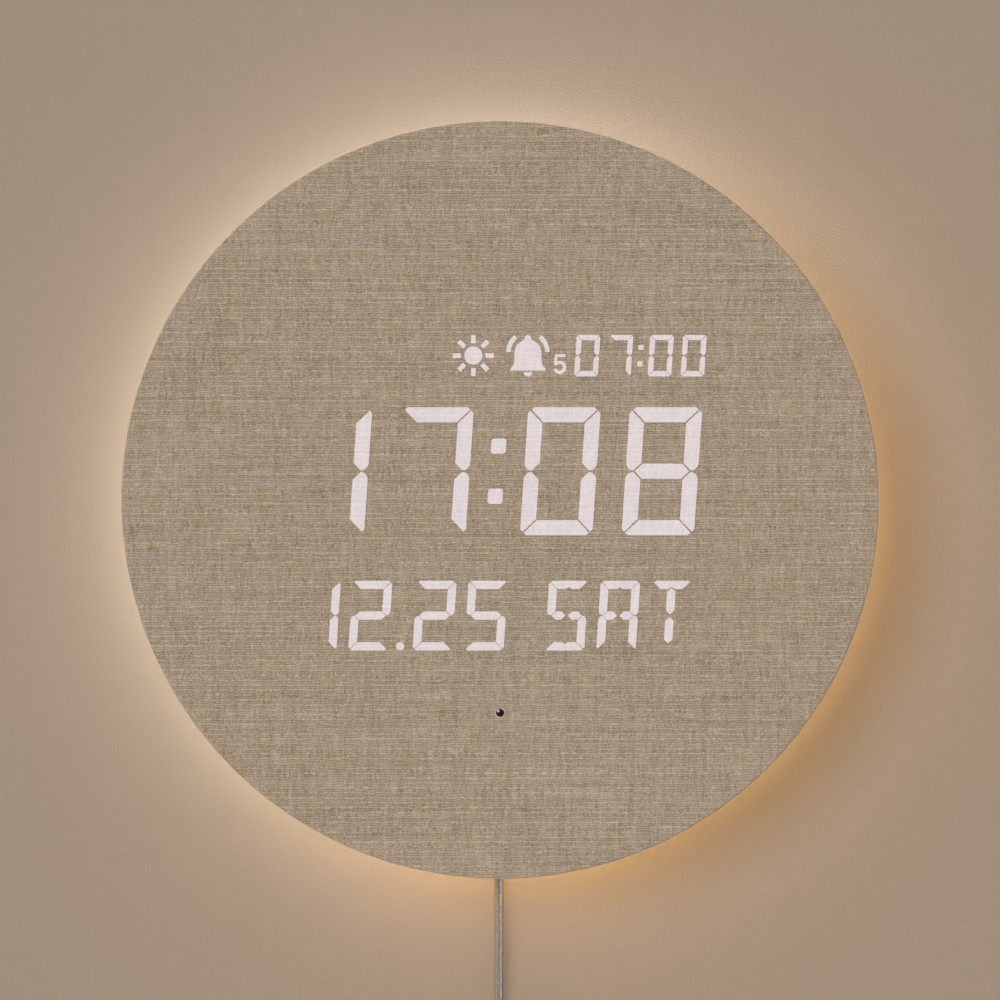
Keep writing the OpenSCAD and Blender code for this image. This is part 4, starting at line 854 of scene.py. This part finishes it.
class CLOCK_OT_rear(bpy.types.Operator):
    """Finishes the housing, its fixings, the buttons and the battery door."""

    bl_idname = "clock.finish_rear"
    bl_label = "Rear"

    def execute(self, context):
        rear = context.scene.clock_rear
        dress(moulded("housing", rear.housing, 0.45, 0.52, 0.00006), "rear_housing", "battery_door")
        dress(moulded("ring_plastic", rear.ring, 0.45, 0.55, 0.00005), "fabric_ring")
        dress(fibre_finish(rear), "front_board")
        screws = plated("screw_steel", (0.58, 0.57, 0.55), 0.3)
        dress(screws, "ring_screws", "board_screws", "hanger_screws", "case_screws")
        dress(plated("steel_plate", (0.60, 0.61, 0.62), 0.36), "hanger_plate")
        dress(rubber_finish("pad_rubber", (0.022, 0.022, 0.022)), "wall_pads")
        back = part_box("set_button")[1].y
        keys = ["set_button", "up_button", "down_button", "alarm_button", "light_button"]
        dress(button_finish(rear, back), *keys)
        return {"FINISHED"}


class CLOCK_OT_works(bpy.types.Operator):
    """Finishes the boards and parts inside the housing."""

    bl_idname = "clock.finish_works"
    bl_label = "Works"

    def execute(self, context):
        rear = context.scene.clock_rear
        dress(circuit_finish(rear), "display_board", "sensor_board", "main_board")
        chips = moulded("chip", (0.028, 0.028, 0.03), 0.3, 0.6)
        dress(chips, "sensor_chip", "controller_chip", "driver_chips", "switch_bodies", "buzzer")
        plungers = [name + "_plunger" for name in ("set", "up", "down", "alarm", "light")]
        dress(moulded("plunger", (0.62, 0.57, 0.42), 0.4, 0.4), *plungers)
        dress(plated("metal_can", (0.62, 0.62, 0.61), 0.25), "crystal", "coin_cell")
        dress(plated("contact", (0.68, 0.55, 0.30), 0.25), "battery_contacts")
        dress(moulded("capacitor", (0.028, 0.045, 0.12), 0.5, 0.3), "capacitors")
        dress(moulded("socket", (0.76, 0.71, 0.60), 0.4, 0.4), "board_sockets")
        dress(rubber_finish("wire", (0.60, 0.59, 0.57)), "sensor_lead", "strip_lead", "power_lead")
        dress(rubber_finish("battery_wire", (0.40, 0.045, 0.03)), "battery_leads")
        dress(ribbon_finish(), "ribbon_cable")
        return {"FINISHED"}


class CLOCK_OT_plug(bpy.types.Operator):
    """Finishes the strain relief, the tie and the plug."""

    bl_idname = "clock.finish_plug"
    bl_label = "Plug"

    def execute(self, context):
        dress(rubber_finish("moulding", (0.66, 0.635, 0.58)), "cord_boot", "plug_body")
        dress(tie_finish(), "cord_tie")
        dress(plated("plug_metal", (0.66, 0.66, 0.66), 0.22), "plug_shell")
        dress(plated("plug_gold", (0.75, 0.56, 0.24), 0.22, 0.3), "plug_contacts")
        dress(moulded("plug_tongue", (0.74, 0.74, 0.72), 0.4, 0.4), "plug_tongue")
        return {"FINISHED"}


class CLOCK_OT_stage(bpy.types.Operator):
    """Sets up the wall, the floor, the lamps and the background."""

    bl_idname = "clock.set_stage"
    bl_label = "Stage"

    def execute(self, context):
        scene = context.scene
        stage = scene.clock_stage
        scene.view_settings.view_transform = "Standard"
        reach, floor_z = stage.reach, stage.floor_height
        wall = np.array([(-reach, WALL_Y, floor_z), (reach, WALL_Y, floor_z),
                         (reach, WALL_Y, reach), (-reach, WALL_Y, reach)])
        ground = np.array([(-reach, -2 * reach, floor_z), (reach, -2 * reach, floor_z),
                           (reach, WALL_Y, floor_z), (-reach, WALL_Y, floor_z)])
        quad = np.array([[0, 1, 2, 3]])
        add_piece("wall", wall, quad, wall_finish(stage))
        add_piece("floor", ground, quad, floor_finish(stage))
        self.add_sun("key", KEY_FROM, stage.key_spread, stage.key)
        self.add_sun("back", BACK_FROM, stage.back_spread, stage.back)
        scene.world = self.make_room(stage)
        return {"FINISHED"}

    def add_sun(self, name, offset, spread, strength):
        """Soft even light that comes from an offset, spread over so many degrees."""
        data = bpy.data.lights.new(name, "SUN")
        data.energy = strength
        data.angle = math.radians(spread)
        lamp = bpy.data.objects.new(name, data)
        lamp.location = offset
        lamp.rotation_euler = (-offset).to_track_quat("-Z", "Y").to_euler()
        bpy.context.scene.collection.objects.link(lamp)

    def make_room(self, stage):
        """Even light from all round; the eye, gloss and glass see the pale background instead."""
        room = Finish("room", "worlds")
        eye, gloss, glass = (room.node("LightPath", output=f"Is {ray} Ray")
                             for ray in ("Camera", "Glossy", "Transmission"))
        seen = room.math("MAXIMUM", room.math("MAXIMUM", eye, gloss), glass)
        light = room.node("Background", {}, {"Color": solid(stage.fill_tint), "Strength": stage.fill})
        view = room.node("Background", {}, {"Color": solid(stage.backdrop)})
        return room.ended(room.node("MixShader", {}, {0: seen, 1: light, 2: view}), "OutputWorld")


class CLOCK_PT_panel(bpy.types.Panel):
    """Lists the clock's pieces and their settings in the sidebar."""

    bl_idname = "CLOCK_PT_panel"
    bl_label = "Linen wall clock"
    bl_space_type = "VIEW_3D"
    bl_region_type = "UI"
    bl_category = "Clock"

    def draw(self, context):
        for operator in OPERATORS:
            self.layout.operator(operator.bl_idname)
        for name in SETTINGS:
            group = getattr(context.scene, name)
            for key in group.bl_rna.properties.keys():
                if key not in {"rna_type", "name"}:
                    self.layout.prop(group, key)


SETTINGS = {
    "clock_cloth": ClockCloth,
    "clock_light": ClockLight,
    "clock_cord": ClockCord,
    "clock_rear": ClockRear,
    "clock_stage": ClockStage,
}
OPERATORS = (
    CLOCK_OT_camera, CLOCK_OT_cord, CLOCK_OT_linen, CLOCK_OT_figures, CLOCK_OT_halo, CLOCK_OT_rear,
    CLOCK_OT_works, CLOCK_OT_plug, CLOCK_OT_stage,
)


def register():
    """Registers the settings, the operators and the panel."""
    for name, group in SETTINGS.items():
        bpy.utils.register_class(group)
        setattr(bpy.types.Scene, name, PointerProperty(type=group))
    for kind in (*OPERATORS, CLOCK_PT_panel):
        bpy.utils.register_class(kind)


def unregister():
    """Takes back what register did."""
    for kind in reversed((*OPERATORS, CLOCK_PT_panel)):
        bpy.utils.unregister_class(kind)
    for name, group in SETTINGS.items():
        delattr(bpy.types.Scene, name)
        bpy.utils.unregister_class(group)


def main():
    """Builds the clock piece by piece."""
    register()
    bpy.ops.clock.place_camera()
    bpy.ops.clock.hang_cord()
    bpy.ops.clock.stretch_linen()
    bpy.ops.clock.light_figures()
    bpy.ops.clock.light_halo()
    bpy.ops.clock.finish_rear()
    bpy.ops.clock.finish_works()
    bpy.ops.clock.finish_plug()
    bpy.ops.clock.set_stage()


if __name__ == "__main__":
    main()
